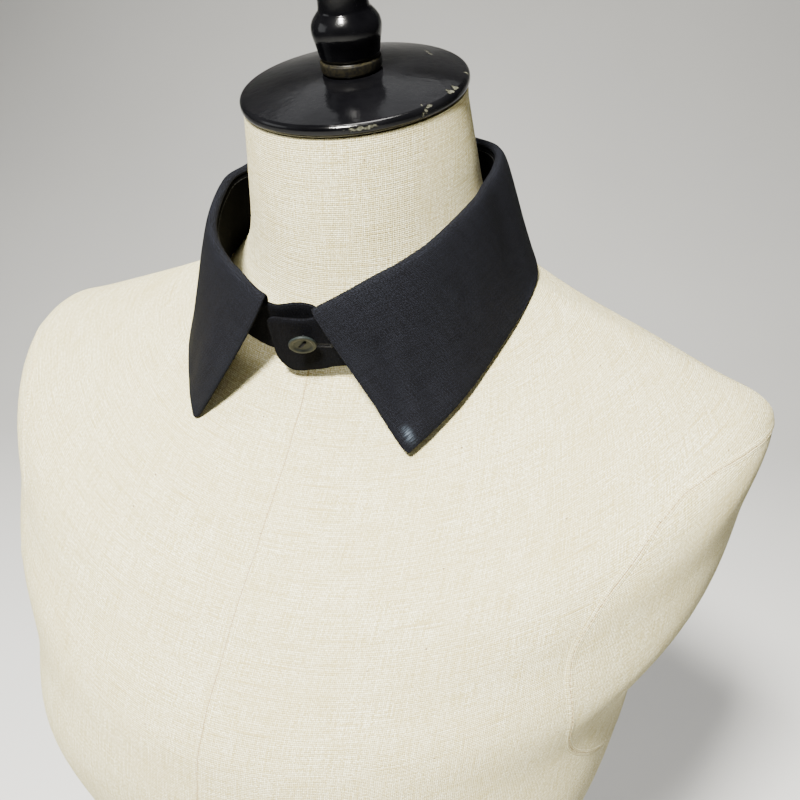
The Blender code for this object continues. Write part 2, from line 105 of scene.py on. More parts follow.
# half width, front y, side y, back y, front z, side z, back z, squareness, front fall, back fall
FORM_RINGS = np.array((
    (49.2, -44.0, 1.2, 46.5, -20.9, -3.9, 13.1, 2.00, 1.40, 1.70),
    (52.2, -39.0, 10.0, 57.5, -52.0, -30.0, -9.0, 2.00, 1.40, 1.70),
    (54.7, -35.0, 17.0, 66.5, -84.0, -50.0, -28.0, 2.05, 1.40, 1.70),
    (59.7, -36.0, 22.0, 73.0, -106.0, -64.0, -46.0, 2.15, 1.40, 1.70),
    (69.0, -41.5, 26.0, 80.5, -122.0, -75.0, -61.0, 2.20, 1.40, 1.70),
    (83.0, -51.5, 29.0, 90.5, -139.0, -84.0, -74.0, 2.05, 1.40, 1.70),
    (106.0, -64.5, 32.0, 101.5, -157.0, -94.0, -91.0, 1.95, 1.40, 1.70),
    (135.0, -78.0, 31.0, 110.0, -174.0, -104.0, -112.0, 2.00, 1.50, 1.50),
    (163.0, -91.0, 27.0, 115.0, -190.0, -113.0, -140.0, 2.08, 1.60, 1.25),
    (183.5, -104.0, 24.0, 117.0, -205.0, -119.5, -163.0, 2.12, 1.60, 1.15),
    (190.5, -112.5, 24.0, 118.0, -218.0, -131.0, -182.0, 2.10, 1.50, 1.20),
    (185.0, -120.5, 24.0, 118.0, -230.0, -158.0, -200.0, 2.12, 1.40, 1.30),
    (177.0, -129.0, 18.0, 115.0, -245.0, -196.0, -222.0, 2.20, 1.40, 1.70),
    (154.0, -134.0, 9.0, 110.0, -264.0, -240.0, -250.0, 2.40, 1.40, 1.70),
    (144.0, -133.0, 2.0, 99.0, -300.0, -292.0, -296.0, 2.65, 1.40, 1.70),
    (127.0, -113.0, -2.0, 86.0, -360.0, -358.0, -360.0, 2.35, 1.40, 1.70),
    (119.0, -99.0, 0.0, 82.0, -410.0, -410.0, -410.0, 2.10, 1.40, 1.70),
    (126.0, -102.0, 2.0, 95.0, -460.0, -460.0, -460.0, 2.15, 1.40, 1.70),
    (146.0, -110.0, 5.0, 118.0, -525.0, -525.0, -525.0, 2.20, 1.40, 1.70),
    (154.0, -112.0, 6.0, 124.0, -577.7, -577.7, -577.7, 2.20, 1.40, 1.70),
))
FORM_STEPS = (11, 11, 8, 6, 6, 7, 7, 7, 8, 6, 6, 8, 9, 11, 14, 10, 10, 12, 10)
FORM_COLUMNS = 384

# angle, then x, y, z of the stand's lower edge, its top, the crest of the roll, the leaf's edge
COLLAR_SECTIONS = np.array((
    (0.0, 0.0, 77.0, -52.0, 0.0, 72.7, -23.4, 0.0, 74.5, -20.8, 0.0, 90.5, -68.0),
    (35.0, 38.0, 65.3, -54.6, 37.5, 59.2, -27.0, 38.5, 60.8, -24.6, 50.5, 77.0, -70.5),
    (52.0, 52.4, 49.8, -58.8, 51.3, 46.3, -30.0, 52.6, 47.4, -27.6, 67.5, 58.0, -74.0),
    (70.0, 61.4, 28.8, -65.6, 56.9, 27.0, -35.2, 58.5, 27.5, -32.6, 79.0, 34.0, -80.0),
    (85.0, 63.3, 9.0, -74.0, 58.1, 9.4, -41.2, 59.7, 9.5, -38.9, 81.1, 12.0, -90.0),
    (100.0, 61.0, -9.0, -82.0, 58.8, -9.5, -47.2, 60.3, -10.0, -45.0, 78.5, -7.0, -101.0),
    (130.0, 47.0, -32.0, -96.5, 48.3, -36.9, -63.8, 49.5, -38.0, -61.0, 70.0, -29.6, -121.0),
    (155.0, 25.5, -42.0, -110.0, 26.8, -52.4, -80.5, 27.5, -54.5, -76.0, 60.5, -42.5, -136.5),
    (170.0, 11.5, -43.5, -113.5, 11.5, -56.0, -89.2, 11.5, -58.5, -86.0, 53.0, -49.0, -147.0),
    (180.0, 0.0, -43.5, -114.0, 0.0, -57.0, -90.3, 0.0, -60.0, -88.0, 50.0, -55.0, -149.0),
))

# how far the stand's lower edge and its top rise, by eight degrees from SHIFT_START to each end
UNDER_END = np.array((
    (0.0, 0.0), (1.1, 0.3), (2.6, 1.8), (3.0, 1.8), (4.8, 3.4), (6.0, 5.4), (6.2, 6.0), (6.2, 6.0),
))
OVER_END = np.array((
    (0.0, 0.0), (0.0, 0.0), (0.0, 0.0), (-0.2, 0.0),
    (-1.8, -0.4), (-3.8, -1.0), (-4.0, -1.0), (-4.0, -1.0),
))

# radius and height along the axis
FINIAL_PROFILE = np.array((
    (12.6, 0.0), (13.1, 0.6), (13.3, 2.4), (13.2, 4.2), (12.6, 4.8), (12.2, 5.4),
    (12.5, 6.0), (12.9, 6.5), (13.7, 10.5), (14.5, 14.0), (14.9, 17.0), (14.5, 19.7),
    (13.2, 22.0), (11.7, 23.8), (10.8, 25.2), (10.5, 30.0), (10.9, 35.0), (13.2, 39.5),
    (14.7, 45.0), (14.2, 50.5), (11.8, 55.2), (7.3, 58.4), (0.0, 59.6),
))


# Curves and surfaces

def unit(vectors):
    return vectors / np.maximum(np.linalg.norm(vectors, axis=-1, keepdims=True), 1e-9)


def ease(value):
    """Smooth step from 0 to 1."""
    value = np.clip(value, 0.0, 1.0)
    return value * value * (3 - 2 * value)


def catmull(table, place):
    """Rows of a table at fractional places, on Catmull-Rom curves through its rows."""
    last = len(table) - 1
    place = np.asarray(place, float)
    index = np.clip(place.astype(int), 0, last - 1)
    t = (place - index)[:, None]
    b, c = table[index], table[index + 1]
    a = np.where((index > 0)[:, None], table[np.maximum(index - 1, 0)], 2 * b - c)
    d = np.where((index < last - 1)[:, None], table[np.minimum(index + 2, last)], 2 * c - b)
    value = (2 * t**3 - 3 * t**2 + 1) * b + (t**3 - 2 * t**2 + t) * (c - a) / 2
    return value + (3 * t**2 - 2 * t**3) * c + (t**3 - t**2) * (d - b) / 2


def lengths(points, axis):
    """Distance travelled along an axis of a grid of points."""
    steps = np.linalg.norm(np.diff(points, axis=axis), axis=-1)
    start = np.zeros_like(np.take(steps, [0], axis=axis))
    return np.concatenate((start, np.cumsum(steps, axis=axis)), axis=axis)


def at_marks(marks, travel, line):
    """Points of a line at distances along it."""
    return np.stack([np.interp(marks, travel, line[:, k]) for k in range(3)], axis=-1)


def off_segment(x, y, start, end):
    """Distance from a straight segment in a plane, and the share travelled along it."""
    step = np.array(end) - np.array(start)
    x, y = x - start[0], y - start[1]
    t = np.clip((x * step[0] + y * step[1]) / (step @ step), 0, 1)
    return np.hypot(x - step[0] * t, y - step[1] * t), t


def bell(value, middle, width):
    """A soft bump, 1 in its middle."""
    return np.exp(-(((value - middle) / width) ** 2))


def plateau(value, rise, rise_width, fall, fall_width):
    """1 between two soft steps from and to 0."""
    return ease((value - rise) / rise_width) * (1 - ease((value - fall) / fall_width))


def rim_relief(rim, line, band):
    """The pressed seam line beside a rim, and the fuller band that starts there."""
    depth, place, width = line
    height, *steps = band
    return height * plateau(rim, *steps) - depth * bell(rim, place, width)


def grid_normals(grid):
    return unit(np.cross(np.gradient(grid, axis=0), np.gradient(grid, axis=1)))


def waves(x, y, height, x_rate, y_rate, draw):
    """Gentle waves of a height, without a period that shows, by rates for each millimetre."""
    x, y = x * x_rate, y * y_rate
    rng = np.random.default_rng(SEED + draw)
    total = np.zeros_like(x)
    for _ in range(6):
        turn, phase = rng.uniform(0, math.tau, 2)
        rate = rng.uniform(0.6, 1.7)
        total += np.sin(rate * (x * math.cos(turn) + y * math.sin(turn)) + phase)
    return height * total / 6


def form_points(places, bearings):
    """Points of the form, one row for each place in its table of rings, by bearing in radians."""
    rings = catmull(FORM_RINGS, places)[:, None, :]
    half, front, side, back, front_z, side_z, back_z, square, front_fall, back_fall = (
        np.moveaxis(rings, 2, 0))
    across, depth = np.cos(bearings)[None], np.sin(bearings)[None]
    size = (np.abs(across) ** square + np.abs(depth) ** square) ** (-1 / square)
    behind = depth > 0
    x = half * across * size
    y = side + np.where(behind, back - side, side - front) * depth * size
    fall = square / 2 * np.where(behind, back_fall, front_fall)
    end_z = np.where(behind, back_z, front_z)
    z = side_z + (end_z - side_z) * (np.abs(depth) * size) ** fall
    return np.stack((x, y, z), axis=-1)


def mirrored(row, angle):
    other = row.copy()
    other[0] = angle
    other[1::3] *= -1
    return other


SECTION_ROWS = np.vstack((
    mirrored(COLLAR_SECTIONS[1], -COLLAR_SECTIONS[1][0]),
    COLLAR_SECTIONS,
    mirrored(COLLAR_SECTIONS[-2], 2 * FRONT_ANGLE - COLLAR_SECTIONS[-2][0]),
))


def sections(angles):
    """The collar's four guide points at angles from the centre back, the wearer's right below 0."""
    turn = np.abs(angles)
    beyond = turn > FRONT_ANGLE
    turn = np.where(beyond, 2 * FRONT_ANGLE - turn, turn)
    marks = SECTION_ROWS[:, 0]
    index = np.clip(np.searchsorted(marks, turn, side="left") - 1, 1, len(marks) - 3)
    place = index + (turn - marks[index]) / (marks[index + 1] - marks[index])
    found = catmull(SECTION_ROWS[:, 1:], np.minimum(place, index + 1 - 1e-9))
    found = found.reshape(-1, 4, 3)
    found[..., 0] *= np.where((angles < 0) != beyond, -1.0, 1.0)[:, None]
    return found


def outward_at(angles):
    ahead, behind = sections(angles + 1.0), sections(angles - 1.0)
    along = (ahead[:, 0] + ahead[:, 1] - behind[:, 0] - behind[:, 1]) / 2
    return unit(np.stack((-along[:, 1], along[:, 0], 0 * along[:, 0]), axis=-1))


def moved_ends(points, angles, level):
    """The buttoned ends part and lie askew; level is 0 at the stand's low edge, 1 at its top."""
    part = ease((np.abs(angles) - FRONT_ANGLE + LAYER_START) / LAYER_BLEND) * LAYER_STEP
    place = np.maximum((np.abs(angles) - SHIFT_START) / SHIFT_STEP, 0.0)
    rises = np.where((angles > 0)[:, None], catmull(OVER_END, place), catmull(UNDER_END, place))
    points = points + outward_at(angles) * (np.sign(angles) * part)[:, None]
    points[:, 2] += rises[:, 0] + (rises[:, 1] - rises[:, 0]) * level
    return points


def stand_edges(angles):
    found = sections(angles)
    return moved_ends(found[:, 0], angles, 0.0), moved_ends(found[:, 1], angles, 1.0)


def stand_point(angle, level):
    low, top = stand_edges(np.array([float(angle)]))
    return (low + (top - low) * level)[0]


def corner_drop(distance, radius):
    """How far a rounded corner lies inside its square one, by the distance from the end."""
    inside = np.clip(radius - distance, 0.0, radius)
    return radius - np.sqrt(radius**2 - inside**2)


# Meshes

def placed(name, data):
    made = bpy.data.objects.new(name, data)
    bpy.context.collection.objects.link(made)
    return made


def oriented(points, faces):
    """Quads turned so that the closed surface faces outwards."""
    a, b, c, d = (points[faces[:, k]] for k in range(4))
    volume = np.einsum("ij,ij->", a, np.cross(b, c) + np.cross(c, d))
    return faces[:, ::-1] if volume < 0 else faces


def grid_quads(rows, columns, wrap=False):
    index = np.arange(rows * columns).reshape(rows, columns)
    if wrap:
        index = np.hstack((index, index[:, :1]))
    a, b, c, d = index[:-1, :-1], index[:-1, 1:], index[1:, 1:], index[1:, :-1]
    return np.stack((a, b, c, d), axis=-1).reshape(-1, 4)


def add_mesh(name, points, faces, finish, slot, replaced=(), maps=None, values=None, sharp=None):
    """A piece of the object, from points in millimetres in the neck frame."""
    points = (np.asarray(points, float) + NECK) * MM
    mesh = bpy.data.meshes.new(name)
    mesh.from_pydata(points.tolist(), [], [tuple(int(v) for v in face) for face in faces])
    if maps is not None:
        layer = mesh.uv_layers.new(name="cloth")
        layer.data.foreach_set("uv", (np.asarray(maps, float) * MM).ravel())
    for key, amounts in (values or {}).items():
        attribute = mesh.attributes.new(key, "FLOAT", "POINT")
        attribute.data.foreach_set("value", np.asarray(amounts, np.float32))
    mesh.shade_smooth()
    if sharp is not None:
        mesh.set_sharp_from_angle(angle=math.radians(sharp))
    mesh.materials.append(finish)
    piece = placed(name, mesh)
    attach(piece, "root")
    if replaced:
        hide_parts(*replaced)
    return piece


def tube(path, radii, sides=8):
    """A round closed tube along a path, with rounded ends, as points and faces."""
    path = np.asarray(path, float)
    radii = np.broadcast_to(np.asarray(radii, float), len(path))
    along = unit(np.gradient(path, axis=0))
    side = np.cross(along[0], (0.3, 0.5, 0.81))
    sides_at = []
    for direction in along:
        side = side - direction * side.dot(direction)
        side = side / np.linalg.norm(side)
        sides_at.append(side)
    side = np.array(sides_at)
    other = np.cross(along, side)
    start, end = path[0] - along[0] * radii[0] * 0.6, path[-1] + along[-1] * radii[-1] * 0.6
    centres = np.vstack((start, path, end))
    sizes = np.concatenate(([radii[0] * 0.55], radii, [radii[-1] * 0.55]))
    side = np.vstack((side[:1], side, side[-1:]))
    other = np.vstack((other[:1], other, other[-1:]))
    turn = np.linspace(0, math.tau, sides, endpoint=False)
    across, along = np.cos(turn)[:, None], np.sin(turn)[:, None]
    ring = across * side[:, None] + along * other[:, None]
    points = (centres[:, None] + ring * sizes[:, None, None]).reshape(-1, 3)
    last = len(points) - sides
    quads = grid_quads(len(centres), sides, wrap=True)[:, ::-1]
    return points, [*quads, range(sides), range(last + sides - 1, last - 1, -1)]


def joined(parts):
    """Many small shapes as one list of points and one of faces."""
    points, faces, count = [], [], 0
    for some, their in parts:
        points.append(some)
        faces += [[v + count for v in face] for face in their]
        count += len(some)
    return np.vstack(points), faces


def stitch(start, end, normal, radius, rise):
    """One stitch as a short tube that arches over the cloth."""
    path = []
    for t in np.linspace(0, 1, 6):
        arch = math.sin(math.pi * t)
        path.append(start + (end - start) * t + normal * (rise * arch - radius * 0.6 * (1 - arch)))
    return tube(path, radius, 6)


# Materials

def colour(red, green, blue):
    """A colour from its 0 to 255 display values."""
    levels = [value / 255 for value in (red, green, blue)]
    linear = [v / 12.92 if v <= 0.04045 else ((v + 0.055) / 1.055) ** 2.4 for v in levels]
    return (*linear, 1.0)


class Finish:
    """A procedural material and short ways to add its nodes; colours are display values."""

    def __init__(self, name):
        self.material = bpy.data.materials.new(name)
        self.material.use_nodes = True
        self.tree = self.material.node_tree

    def feed(self, socket, value):
        if isinstance(value, bpy.types.NodeSocket):
            self.tree.links.new(value, socket)
        else:
            socket.default_value = value

    def node(self, kind, inputs=(), output=0, **settings):
        made = self.tree.nodes.new("ShaderNode" + kind)
        for key, value in settings.items():
            setattr(made, key, value)
        for key, value in dict(inputs).items():
            self.feed(made.inputs[key], value)
        return made.outputs[output]

    def finished(self, **values):
        shader = self.tree.nodes["Principled BSDF"]
        for key, value in values.items():
            self.feed(shader.inputs[key.replace("_", " ")], value)
        return self.material

    def math(self, operation, first, second=0.0, third=0.0, clamp=False):
        inputs = {0: first, 1: second, 2: third}
        return self.node("Math", inputs, operation=operation, use_clamp=clamp)

    def mix(self, share, *tones):
        first, second = (colour(*tone) if isinstance(tone, tuple) else tone for tone in tones)
        return self.node("Mix", {0: share, 6: first, 7: second}, output=2, data_type="RGBA")

    def ramp(self, value, low, high, to_low=0.0, to_high=1.0):
        inputs = {0: value, 1: low, 2: high, 3: to_low, 4: to_high}
        return self.node("MapRange", inputs, clamp=True)

    def layered(self, base, *layers):
        """Colours over a base, each by a ramp: value, low, high, shares there, colour."""
        for *limits, tone in layers:
            base = self.mix(self.ramp(*limits), base, tone)
        return base

    def noise(self, vector, scale, detail=2.0, roughness=0.5):
        inputs = {"Vector": vector, "Scale": scale, "Detail": detail, "Roughness": roughness}
        return self.node("TexNoise", inputs)

    def stretched(self, vector, x, y, z=1.0):
        return self.node("VectorMath", {0: vector, 1: (x, y, z)}, operation="MULTIPLY")

    def attribute(self, name):
        return self.node("Attribute", output=2, attribute_name=name)

    def bump(self, height, distance, strength=1.0, under=None):
        inputs = {"Height": height, "Distance": distance, "Strength": strength}
        if under is not None:
            inputs["Normal"] = under
        return self.node("Bump", inputs)

    def weave(self, vector, pitches, *threads):
        """Height of a plain weave from 0 to 1, and the tone of the thread that lies on top.

        Warp and weft each have a pitch, and a noise: scale across, along, detail, roughness.
        """
        waves, heights, tones = [], [], []
        for k, pitch in enumerate(pitches):
            across = self.node("SeparateXYZ", {0: vector}, output=k)
            waves.append(self.math("SINE", self.math("MULTIPLY", across, math.pi / pitch)))
        for own, other, half in ((*waves, 0.5), (*waves[::-1], -0.5)):
            crossing = self.math("MULTIPLY", self.math("SIGN", own), other)
            rise = self.math("MULTIPLY_ADD", crossing, half, 0.5)
            heights.append(self.math("MULTIPLY", self.math("ABSOLUTE", own), rise))
        on_top = self.math("GREATER_THAN", *heights)
        for share, (x, y, *rest) in zip((on_top, self.math("SUBTRACT", 1.0, on_top)), threads):
            streaks = self.noise(self.stretched(vector, x, y), 1.0, *rest)
            tones.append(self.math("MULTIPLY", share, streaks))
        return self.math("MAXIMUM", *heights), self.math("ADD", *tones)


# Metres between threads, warp and weft
LINEN_PITCHES = (0.00078, 0.00084)
COLLAR_PITCHES = (0.00066, 0.00060)


def linen_finish(name):
    made = Finish(name)
    place = made.node("UVMap", uv_map="cloth")
    threads = ((1250.0, 60.0, 2.0, 0.6), (55.0, 1150.0, 3.0, 0.6))
    height, tone = made.weave(place, LINEN_PITCHES, *threads)
    grain = made.noise(place, 950.0, 2.0, 0.7)
    cloud = made.noise(place, 24.0, 4.0, 0.6)
    slub = made.noise(made.stretched(place, 30.0, 820.0), 1.0, 1.0)
    rise = made.noise(made.stretched(place, 760.0, 34.0), 1.0, 1.0)
    base = made.mix(made.ramp(tone, 0.34, 0.62), (190, 180, 124), (247, 246, 213))
    base = made.layered(
        base,
        (grain, 0.36, 0.58, 0.75, 0.0, (168, 154, 106)),
        (cloud, 0.42, 0.68, 0.0, 0.35, (198, 187, 138)),
        (height, 0.0, 0.7, 0.85, 0.0, (134, 116, 68)),
        (slub, 0.64, 0.72, 0.0, 0.6, (172, 156, 102)),
        (rise, 0.66, 0.74, 0.0, 0.45, (182, 167, 114)),
    )
    cells = {"Vector": made.stretched(place, 80.0, 120.0), "Scale": 1.0}
    distance, tint = (made.node("TexVoronoi", cells, key) for key in ("Distance", "Color"))
    pick = made.math("GREATER_THAN", made.node("SeparateColor", {0: tint}), 0.55)
    fleck = made.math("MULTIPLY", made.ramp(distance, 0.02, 0.06, 0.9, 0.0), pick)
    base = made.mix(fleck, base, (84, 58, 34))
    base = made.mix(made.math("MULTIPLY", made.attribute("seam"), 0.8), base, (132, 104, 68))
    relief = made.math("ADD", height, made.math("MULTIPLY", made.math("ADD", slub, rise), 0.7))
    return made.finished(
        Base_Color=base, Roughness=0.92, Sheen_Weight=0.04, Sheen_Roughness=0.6,
        Specular_IOR_Level=0.1, Normal=made.bump(relief, 0.00026, 1.0))


def collar_finish(name):
    made = Finish(name)
    place = made.node("UVMap", uv_map="cloth")
    height, tone = made.weave(place, COLLAR_PITCHES, (1500.0, 60.0), (60.0, 1650.0))
    pepper = made.noise(place, 2100.0, 1.0, 0.6)
    base = made.mix(made.ramp(tone, 0.34, 0.64), (6, 6, 8), (20, 21, 26))
    base = made.layered(
        base,
        (pepper, 0.5, 0.66, 0.0, 0.8, (29, 31, 39)),
        (pepper, 0.34, 0.5, 0.8, 0.0, (3, 3, 4)),
        (height, 0.0, 0.7, 0.75, 0.0, (3, 3, 4)),
    )
    # Painted shade: the cloth's inner faces, and the stand's outer face in part, are darkened
    # towards near black and given less specular
    painted_shade = made.attribute("inside")
    base = made.mix(made.math("MULTIPLY", painted_shade, 0.8), base, (4, 4, 4))
    # Painted highlight: a lighter blue-grey streaky patch on the leaf's point, where the cloth is
    # also made smoother as rubbed cloth is
    streak = made.noise(made.stretched(place, 260.0, 1500.0), 1.0, 2.0)
    rub_and_painted_highlight = made.math("MULTIPLY", made.attribute("worn"), made.ramp(streak, 0.42, 0.62, 0.1, 0.7))
    base = made.mix(rub_and_painted_highlight, base, (82, 92, 104))
    relief = made.math("MULTIPLY_ADD", made.noise(place, 420.0, 2.0), 0.3, height)
    return made.finished(
        Base_Color=base, Roughness=made.math("MULTIPLY_ADD", rub_and_painted_highlight, -0.25, 0.85),
        Specular_IOR_Level=made.math("MULTIPLY_ADD", painted_shade, -0.045, 0.06),
        Normal=made.bump(relief, 0.00013, 0.9))


def thread_finish(name, dark, pale):
    made = Finish(name)
    place = made.node("TexCoord", output=3)
    twist = made.noise(made.stretched(place, 2600.0, 2600.0, 2600.0), 1.0, 2.0)
    return made.finished(
        Base_Color=made.mix(made.ramp(twist, 0.35, 0.65), dark, pale), Roughness=0.8,
        Sheen_Weight=0.05, Sheen_Roughness=0.4, Specular_IOR_Level=0.15,
        Normal=made.bump(twist, 0.00008, 0.8))


def lacquer_finish(name):
    made = Finish(name)
    place = made.node("TexCoord", output=3)
    smudge = made.noise(place, 28.0, 4.0, 0.6)
    grain, peel = made.noise(place, 900.0), made.noise(place, 260.0)
    dust, chip = made.attribute("dust"), made.attribute("chip")
    worn = made.math("MAXIMUM", dust, chip)
    base = made.mix(made.ramp(smudge, 0.4, 0.75), (3, 3, 4), (12, 12, 14))
    specks = made.math("MULTIPLY", dust, made.ramp(grain, 0.42, 0.6, 0.25, 1.0))
    base = made.mix(specks, base, (36, 33, 21))
    base = made.mix(chip, base, made.mix(made.ramp(grain, 0.4, 0.62), (52, 52, 44), (88, 88, 76)))
    rough = made.math("MULTIPLY", worn, 0.55)
    rough = made.math("ADD", made.ramp(smudge, 0.35, 0.8, 0.1, 0.24), rough, clamp=True)
    return made.finished(
        Base_Color=base, Roughness=rough,
        Specular_IOR_Level=made.math("MULTIPLY_ADD", worn, -0.24, 0.27),
        Normal=made.bump(peel, 0.00022, 0.45, made.bump(grain, 0.00003, 0.5)))


def button_finish(name):
    made = Finish(name)
    place = made.node("TexCoord", output=3)
    cloud, fine = made.noise(place, 520.0, 4.0, 0.65), made.noise(place, 2400.0)
    base = made.mix(made.ramp(cloud, 0.32, 0.7), (23, 28, 27), (34, 39, 38))
    base = made.layered(base, (fine, 0.55, 0.75, 0.0, 0.4, (21, 24, 20)))
    return made.finished(
        Base_Color=base, Roughness=made.ramp(cloud, 0.3, 0.7, 0.4, 0.55),
        Specular_IOR_Level=0.13, Normal=made.bump(fine, 0.00003, 0.5))


def stage_finish(name):
    made = Finish(name)
    cloud = made.noise(made.node("TexCoord", output=3), 1.5, 3.0)
    base = made.mix(made.ramp(cloud, 0.3, 0.7), (205, 205, 204), (212, 212, 211))
    return made.finished(Base_Color=base, Roughness=0.9, Specular_IOR_Level=0.2)


# The dress form

def build_form(finish):
    places = [0.0]
    for ring, steps in enumerate(FORM_STEPS):
        places += [ring + (k + 1) / steps for k in range(steps)]
    bearings = math.pi / 2 + math.tau * np.arange(FORM_COLUMNS + 1) / FORM_COLUMNS
    grid = form_points(places, bearings)
    tilt = math.radians(CAP_TILT)
    grid[0, :, 2] = grid[0, :, 1] * math.tan(tilt) + (CAP_BASE - GAP) / math.cos(tilt)
    around, down = lengths(grid, 1), lengths(grid, 0)
    around -= around[:, FORM_COLUMNS // 2][:, None]
    maps = np.stack((around, down), axis=-1).reshape(-1, 2)
    corner_maps = maps[grid_quads(len(places), FORM_COLUMNS + 1)]
    points = grid[:, :-1].reshape(-1, 3)
    quads = grid_quads(len(places), FORM_COLUMNS, wrap=True)
    if (oriented(points, quads) != quads).any():
        quads, corner_maps = quads[:, ::-1], corner_maps[:, ::-1]
    last = len(points) - FORM_COLUMNS
    faces = [*quads, range(FORM_COLUMNS), range(len(points) - 1, last - 1, -1)]
    loops = np.vstack((corner_maps.reshape(-1, 2), np.zeros((2 * FORM_COLUMNS, 2))))
    add_mesh("form_cloth", points, faces, finish, "form_linen", ("form_body",), loops, sharp=50.0)
    return BVHTree.FromPolygons(points.tolist(), quads.tolist())


def on_form(surface, point):
    found, normal, _, _ = surface.find_nearest(Vector(point))
    return np.array(found), np.array(normal)


# A seam's ribbon: distances from its line; shoulder, groove, pucker, pitch, and steps along it
SEAM_WIDTHS = np.array((3.4, 2.5, 1.8, 1.3, 0.95, 0.7, 0.5, 0.32, 0.16))
FORM_SEAM = (0.28, 0.12, 0.03, 2.4, 0.75)
ARMHOLE_SEAM = (0.42, 0.24, 0.11, 2.3, 0.55)


def seam_strip(surface, path, sizes, seed):
    """A low ribbon over a seam of the form: two soft shoulders beside a puckered line."""
    shoulder, groove, pucker, pitch, spacing = sizes
    path = np.array([on_form(surface, point)[0] for point in path])
    travel = lengths(path, 0)
    marks = np.linspace(0, travel[-1], int(travel[-1] / spacing))
    path = at_marks(marks, travel, path)
    along = unit(np.gradient(path, axis=0))
    rng = np.random.default_rng(seed)

    def wander(step, low, high):
        knots = np.arange(0, travel[-1] + 40, step)
        return np.interp(marks, knots, rng.uniform(low, high, len(knots)))

    sway = wander(8.0, -0.25, 0.25)
    strength = wander(5.0, 0.4, 1.0)
    widths = np.concatenate((-SEAM_WIDTHS, [0.0], SEAM_WIDTHS[::-1]))
    near = np.abs(widths)
    wave = pucker * np.cos(math.tau * marks / pitch) * strength
    rise = -0.1 + shoulder * bell(near, 0.0, 1.7) - groove * bell(near, 0.0, 0.22)
    rise = rise + wave[:, None] * bell(near, 0.5, 0.8)
    points = np.zeros((*rise.shape, 3))
    for i in range(len(marks)):
        centre, normal = on_form(surface, path[i])
        side = np.cross(normal, along[i])
        for j, width in enumerate(widths):
            spot, up = on_form(surface, centre + side * (width + sway[i]))
            points[i, j] = spot + up * rise[i, j]
    maps = np.stack(np.broadcast_arrays(widths + 400.0, marks[:, None]), axis=-1)
    return points, maps, bell(widths, 0.0, 0.3) * (0.35 + 0.65 * strength[:, None])


def strip_mesh(name, strips, finish, surface):
    """Ribbons as one piece, each closed by a lower layer inside the form."""
    all_points, all_faces, all_maps, all_seams, count = [], [], [], [], 0
    for points, maps, seam in strips:
        rows, columns = points.shape[:2]
        size = rows * columns
        inward = np.array([on_form(surface, row[columns // 2])[1] for row in points]) * 0.5
        both = np.vstack((points.reshape(-1, 3), (points - inward[:, None]).reshape(-1, 3)))
        index = np.arange(size).reshape(rows, columns)
        rim = np.concatenate((index[0], index[1:, -1], index[-1, -2::-1], index[-2:0:-1, 0]))
        after = np.roll(rim, -1)
        wall = np.stack((rim, rim + size, after + size, after), axis=-1)
        quads = grid_quads(rows, columns)
        quads = oriented(both, np.vstack((quads, quads[:, ::-1] + size, wall)))
        all_maps.append(np.tile(maps.reshape(-1, 2), (2, 1))[quads].reshape(-1, 2))
        all_points.append(both)
        all_seams += [seam.ravel(), 0 * seam.ravel()]
        all_faces.append(quads + count)
        count += len(both)
    add_mesh(name, np.vstack(all_points), np.vstack(all_faces), finish, "form_linen",
             maps=np.vstack(all_maps), values={"seam": np.concatenate(all_seams)})


# y and z of the armhole seam, seen from the side
ARMHOLE = np.array((
    (40.0, -132.5), (24.0, -130.4), (12.0, -130.2), (0.0, -130.9), (-16.3, -133.7),
    (-29.6, -139.0), (-42.0, -147.0), (-57.0, -161.0), (-71.0, -180.0), (-80.0, -202.0),
    (-82.0, -226.0), (-70.0, -250.0), (-42.0, -266.0), (-6.0, -270.0), (30.0, -262.0),
    (58.0, -244.0), (76.0, -218.0), (82.0, -190.0), (76.0, -164.0), (60.0, -142.5),
))


def armhole_path(surface, side):
    loop = np.vstack((ARMHOLE, ARMHOLE[:3]))
    places = np.arange(0.0, len(ARMHOLE) + 1.02, 0.1) + 0.5
    path = []
    for y, z in catmull(loop, places[places < len(ARMHOLE) + 1.5]):
        start = Vector((side * 300.0, y, z))
        found, _, _, _ = surface.ray_cast(start, Vector((-side, 0.0, 0.0)))
        if found is not None:
            path.append(found)
    return np.array(path)


def build_form_seams(surface, finish, thread):
    strips = []
    lines = ((2.6, -math.pi / 2, 0), (0.2, math.pi / 2, 1), (13.2, 0.0, 4), (13.2, math.pi, 2))
    for first, bearing, draw in lines:
        path = form_points(np.arange(first, 18.95, 0.05), np.array([bearing]))[:, 0]
        strips.append(seam_strip(surface, path, FORM_SEAM, SEED + draw))
    strip_mesh("form_seams", strips, finish, surface)
    strips, stitches, rng = [], [], np.random.default_rng(SEED)
    for side in (1, -1):
        path = armhole_path(surface, side)
        strips.append(seam_strip(surface, path, ARMHOLE_SEAM, SEED + 8 + side))
        travel = lengths(path, 0)
        for mark in np.arange(1.0, travel[-1] - 1.5, 2.3):
            start, normal = on_form(surface, at_marks(mark, travel, path))
            end, _ = on_form(surface, at_marks(mark + 1.35, travel, path))
            aside = np.cross(normal, end - start) * rng.uniform(-0.12, 0.12)
            stitches.append(stitch(start + aside, end + aside, normal, *ARMHOLE_STITCH))
    strip_mesh("armhole_seams", strips, finish, surface)
    add_mesh("armhole_stitches", *joined(stitches), thread, "form_linen")


# The collar's cloth

def lifted(surface, grid, clearance, softness=1.4):
    """Middle points of cloth, raised softly where they come too near the form."""
    flat = grid.reshape(-1, 3).copy()
    for k, point in enumerate(flat):
        found, normal, _, _ = surface.find_nearest(Vector(point))
        gap = (Vector(point) - found).dot(normal) - clearance
        if gap < softness:
            target = max(gap, 0.0) + max(softness - abs(gap), 0.0) ** 2 / (4 * softness)
            flat[k] += np.array(normal) * (target - gap)
    return flat.reshape(grid.shape)

